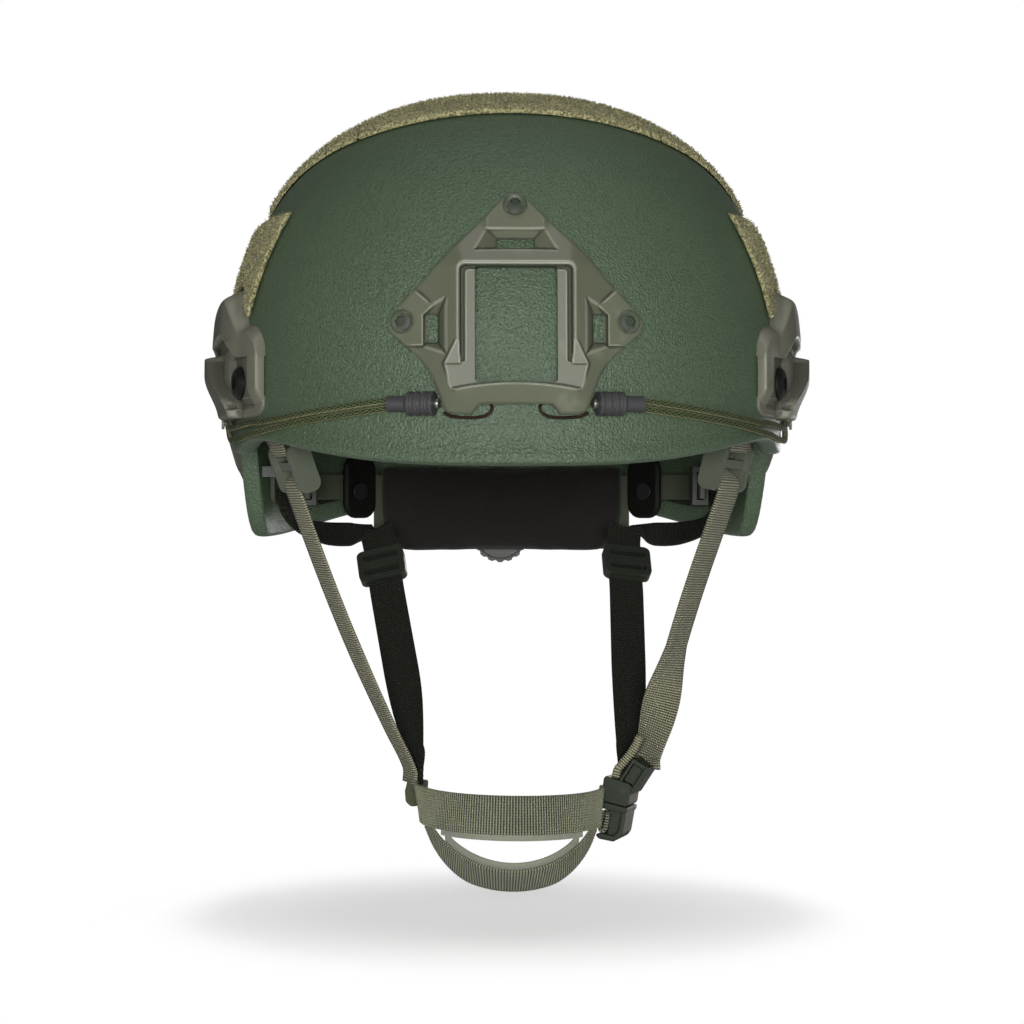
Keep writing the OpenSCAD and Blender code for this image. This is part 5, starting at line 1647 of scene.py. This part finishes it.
def bungee_mid_z(u):
    low = SLEEVE_Z + (RAIL_LOW - 4.6 - SLEEVE_Z) * np.clip((u - SLEEVE_U) / 30, 0, 1)
    return low - 1.5 * smooth((u - 50) / 14) + 5.5 * smooth((u - 70) / 9)


def bungee_off(u):
    return CORD_R + 0.5 + 1.2 * (1 - smooth((u - SLEEVE_U) / 12))


def bungee_half(u):
    """Half the gap between the two strands."""
    return CORD_R + 0.25 + 1.1 * smooth((u - SLEEVE_U - 22) / 18)


def tube(name, path, radius, sides=12):
    """A round tube along a dense path in millimetres, with a UV map round and along it."""
    path = np.asarray(path, float)
    run, tangent = run_and_tangent(path)
    side = unit(np.cross(tangent[0], (0.1, 0.2, 1)))
    points = []
    for i in range(len(path)):
        side = unit(side - tangent[i] * (side @ tangent[i]))
        up = np.cross(tangent[i], side)
        for k in range(sides):
            a = 2 * math.pi * k / sides
            points.append(path[i] + radius * (side * math.cos(a) + up * math.sin(a)))
    made = mesh_object(name, np.array(points) * MM, loft_faces(len(path), sides))
    layer = made.data.uv_layers.new(name="strip")
    for polygon in made.data.polygons:
        corners = [(i, *divmod(made.data.loops[i].vertex_index, sides)) for i in polygon.loop_indices]
        columns = [column for _, _, column in corners]
        # A face that closes the ring ends at 1 and not at 0
        closing = max(columns) - min(columns) > sides / 2
        for i, ring, column in corners:
            layer.data[i].uv = (1.0 if closing and column == 0 else column / sides, run[ring] * MM)
    smooth_by_angle(made, 60)
    print(name, "length:", round(float(run[-1]), 1), "mm")
    return made


run_u = np.linspace(SLEEVE_U + 0.5, TURN_U, 90)
turn_a = np.arange(10, 180, 10.0)
half_end = bungee_half(TURN_U)
cord_u = np.concatenate([run_u, TURN_U + sin_d(turn_a) * half_end / 2.1, run_u[::-1]])
cord_z = np.concatenate(
    [
        bungee_mid_z(run_u) + bungee_half(run_u),
        bungee_mid_z(TURN_U) + cos_d(turn_a) * half_end,
        (bungee_mid_z(run_u) - bungee_half(run_u))[::-1],
    ]
)
for side_name, s in (("left", -1), ("right", 1)):
    line = skin(cord_u, cord_z, bungee_off(cord_u)) * (s, 1, 1)
    finish_piece(tube("bungee_%s_braid" % side_name, line, CORD_R), "helmet", ["bungee_" + side_name])

# %% [markdown]
# The loop panels are stiff fabric covered in fine curled fibres. The panel itself is a thin slab that
# follows the shell. The fibres repeat by the thousand, so Geometry Nodes scatter one small curl over its
# outer faces with a fixed seed, and the result becomes a plain mesh.


# %% Fibre
def fibre_mesh():
    """One curled fibre: a bent strand of three sides."""
    points = []
    for i in range(4):
        t = i / 3
        x, y = 0.35 * math.sin(2.6 * t), 0.25 * math.sin(1.7 * t) * t
        centre = np.array([x, y, 1.0 * math.sin(1.9 * t) + 0.02])
        radius = 0.24 * (1 - 0.6 * t)
        for k in range(3):
            a = 2 * math.pi * k / 3
            points.append(centre + radius * np.array([math.cos(a), math.sin(a), 0.2 * math.sin(a)]))
    made = mesh_object("fibre", np.array(points) * MM, loft_faces(4, 3))
    clean_normals(made)
    return made


FIBRE = fibre_mesh()
print("fibre faces:", len(FIBRE.data.polygons))

# %% [markdown]
# The tree picks points on the outer faces, turns and sizes a fibre on each by chance, and joins the result
# to the panel. Its sizes, material and seed are named inputs, so all six panels share it.


# %% The tree that scatters it
def scatter_tree():
    tree = bpy.data.node_groups.new("scatter fibres", "GeometryNodeTree")
    tree.is_modifier = True
    sockets = [
        ("Geometry", "Geometry"),
        ("Fibre", "Object"),
        ("Fibres per square metre", "Float"),
        ("Shortest", "Float"),
        ("Longest", "Float"),
        ("Pile", "Material"),
        ("Seed", "Int"),
    ]
    for name, kind in sockets:
        tree.interface.new_socket(name, in_out="INPUT", socket_type="NodeSocket" + kind)
    tree.interface.new_socket("Geometry", in_out="OUTPUT", socket_type="NodeSocketGeometry")
    add = tree.nodes.new
    start, end = add("NodeGroupInput"), add("NodeGroupOutput")
    points = add("GeometryNodeDistributePointsOnFaces")
    fibre = add("GeometryNodeObjectInfo")
    place = add("GeometryNodeInstanceOnPoints")
    spin = add("FunctionNodeRandomValue")
    spin.data_type = "FLOAT_VECTOR"
    spin.inputs["Min"].default_value = (-0.7, -0.7, 0)
    spin.inputs["Max"].default_value = (0.7, 0.7, 6.28)
    size = add("FunctionNodeRandomValue")
    size.data_type = "FLOAT"
    turn = add("GeometryNodeRotateInstances")
    outward = add("ShaderNodeVectorMath")
    outward.operation = "DOT_PRODUCT"
    # Outer faces are those that look away from the helmet's middle
    outside = add("FunctionNodeCompare")
    outside.inputs[1].default_value = 0.0
    real = add("GeometryNodeRealizeInstances")
    join = add("GeometryNodeJoinGeometry")
    paint = add("GeometryNodeSetMaterial")
    for source, target in [
        (start.outputs["Geometry"], points.inputs["Mesh"]),
        (add("GeometryNodeInputNormal").outputs[0], outward.inputs[0]),
        (add("GeometryNodeInputPosition").outputs[0], outward.inputs[1]),
        (outward.outputs["Value"], outside.inputs[0]),
        (outside.outputs[0], points.inputs["Selection"]),
        (start.outputs["Fibres per square metre"], points.inputs["Density"]),
        (start.outputs["Seed"], points.inputs["Seed"]),
        (start.outputs["Fibre"], fibre.inputs["Object"]),
        (start.outputs["Shortest"], size.inputs[2]),
        (start.outputs["Longest"], size.inputs[3]),
        (points.outputs["Points"], place.inputs["Points"]),
        (points.outputs["Rotation"], place.inputs["Rotation"]),
        (fibre.outputs["Geometry"], place.inputs["Instance"]),
        (size.outputs[1], place.inputs["Scale"]),
        (place.outputs["Instances"], turn.inputs["Instances"]),
        (spin.outputs["Value"], turn.inputs["Rotation"]),
        (turn.outputs["Instances"], real.inputs["Geometry"]),
        (real.outputs["Geometry"], join.inputs["Geometry"]),
        (start.outputs["Geometry"], join.inputs["Geometry"]),
        (join.outputs["Geometry"], paint.inputs["Geometry"]),
        (start.outputs["Pile"], paint.inputs["Material"]),
        (paint.outputs["Geometry"], end.inputs["Geometry"]),
    ]:
        tree.links.new(source, target)
    return tree


def add_pile(obj, seed):
    settings = {
        "Fibre": FIBRE,
        "Fibres per square metre": FIBRE_DENSITY,
        "Shortest": 0.5,
        "Longest": 1.15,
        "Pile": FINISH["loop_fabric"],
        "Seed": seed,
    }
    step = obj.modifiers.new("pile", "NODES")
    step.node_group = SCATTER
    for socket in SCATTER.interface.items_tree:
        if socket.in_out == "INPUT" and socket.name in settings:
            step[socket.identifier] = settings[socket.name]
    bake_modifiers(obj)


SCATTER = scatter_tree()
FIBRE_DENSITY = 360000
print("fibres per square metre:", FIBRE_DENSITY)

# %% [markdown]
# The helmet has six loop panels: one over the crown, one on each side of it, one above each rail and one
# at the back. Each is a grid laid on the shell's formula, thickened to a slab and given its fibres. The
# left ones are the right ones mirrored.

# %% Loop panels
LOOP_T = 2.1


def slab(name, outer, inner):
    """A closed slab between two grids of points, rounded at its rim."""
    made = mesh_object(name, *two_sided(outer, inner, turned=True))
    clean_normals(made)
    bevel(made, 0.8 * MM, 3, 40)
    smooth_by_angle(made, 50)
    return made


def panel_front_y(x):
    return -70 + 65 * (np.abs(x) / 106) ** 3


def panel_rear_y(x):
    return 82 - 30 * (np.abs(x) / 106) ** 2


def crown_grid(x0, x1, nx, ny, off):
    x = np.linspace(x0, x1, nx + 1)[None, :] * np.ones((ny + 1, 1))
    t = np.linspace(0, 1, ny + 1)[:, None]
    y = panel_rear_y(x) + (panel_front_y(x) - panel_rear_y(x)) * t
    return skin_over(x, y, off)


def side_grid(rows, cols, off):
    t = np.linspace(1, 0, rows + 1)[:, None]
    j = np.linspace(0, 1, cols + 1)[None, :]
    u = (58 + (51.5 - 58) * t) * (1 - j) + (121 + (116 - 121) * t) * j
    low = np.maximum(rail_top_z(u) + 3.5, 40)
    high = 107 - 9 * smooth((u - 60) / 50)
    return skin(u, low + (high - low) * t, off)


def rear_grid(rows, cols, off):
    t = np.linspace(1, 0, rows + 1)[:, None]
    u = np.linspace(151, 209, cols + 1)[None, :] * np.ones((rows + 1, 1))
    return skin(u, 52 + (128 - 52) * t + u * 0, off)


PANELS = [
    ("loop_crown", lambda off: crown_grid(-64, 64, 64, 76, off), False),
    ("loop_outer_right", lambda off: crown_grid(64.5, 105, 24, 60, off), False),
    ("loop_outer_left", lambda off: crown_grid(64.5, 105, 24, 60, off), True),
    ("loop_side_right", lambda off: side_grid(24, 60, off), False),
    ("loop_side_left", lambda off: side_grid(24, 60, off), True),
    ("loop_rear", lambda off: rear_grid(30, 40, off), False),
]
for seed, (node, grid, mirrored) in enumerate(PANELS, 1):
    outer, inner = grid(SEAT + LOOP_T), grid(SEAT)
    if mirrored:
        outer, inner = outer[:, ::-1] * (-1, 1, 1), inner[:, ::-1] * (-1, 1, 1)
    panel = slab(node + "_pile", outer, inner)
    add_pile(panel, seed)
    finish_piece(panel, "helmet", [node])
    print(node, "faces:", len(panel.data.polygons))
bpy.data.objects.remove(FIBRE)

# %% [markdown]
# The comfort pads are foam in brushed cloth. A smooth block would look like soap, so each pad starts as a
# slightly smaller copy of its solid, gets an even skin of small faces, and a short cloth simulation blows
# it up until the cloth pulls between its corners.


# %% Pads
CLOTH_FRAMES = 18


def puffed_pad(node, body, pressure=3.0, cap=0.004, voxel=0.005, share=0.93):
    """A pad blown up under pressure, with no point moved further than cap, in metres."""
    pad = into_scene(node + "_cloth", frame["nodes"][node].data.copy())
    co = coordinates(pad)
    centre = co.mean(0)
    move_points(pad, centre + (co - centre) * share)
    clean_normals(pad)
    remesh = pad.modifiers.new("skin", "REMESH")
    remesh.mode = "VOXEL"
    remesh.voxel_size = voxel
    bake_modifiers(pad)
    before = coordinates(pad)
    cloth = pad.modifiers.new("cloth", "CLOTH")
    cloth.settings.use_pressure = True
    cloth.settings.uniform_pressure_force = pressure
    cloth.settings.effector_weights.gravity = 0
    cloth.settings.quality = 5
    cloth.settings.tension_stiffness = 30
    scene = bpy.context.scene
    for step in range(1, CLOTH_FRAMES + 1):
        scene.frame_set(step)
    bake_modifiers(pad)
    scene.frame_set(1)
    move = coordinates(pad) - before
    size = np.linalg.norm(move, axis=1, keepdims=True)
    move *= np.minimum(1, cap / np.maximum(size, 1e-9))
    move_points(pad, before + move)
    finer = pad.modifiers.new("finer", "SUBSURF")
    finer.levels = finer.render_levels = 1
    bake_modifiers(pad)
    smooth_by_angle(pad, 80)
    finish_piece(pad, body, [node])
    print(node, "faces:", len(pad.data.polygons))


for place in ("front", "crown", "side_left", "side_right", "rear_left", "rear_right"):
    puffed_pad("pad_" + place, "helmet")
puffed_pad("nape_pad", "nape_unit", 2.0, 0.002, 0.003, (1.01, 0.93, 0.95))
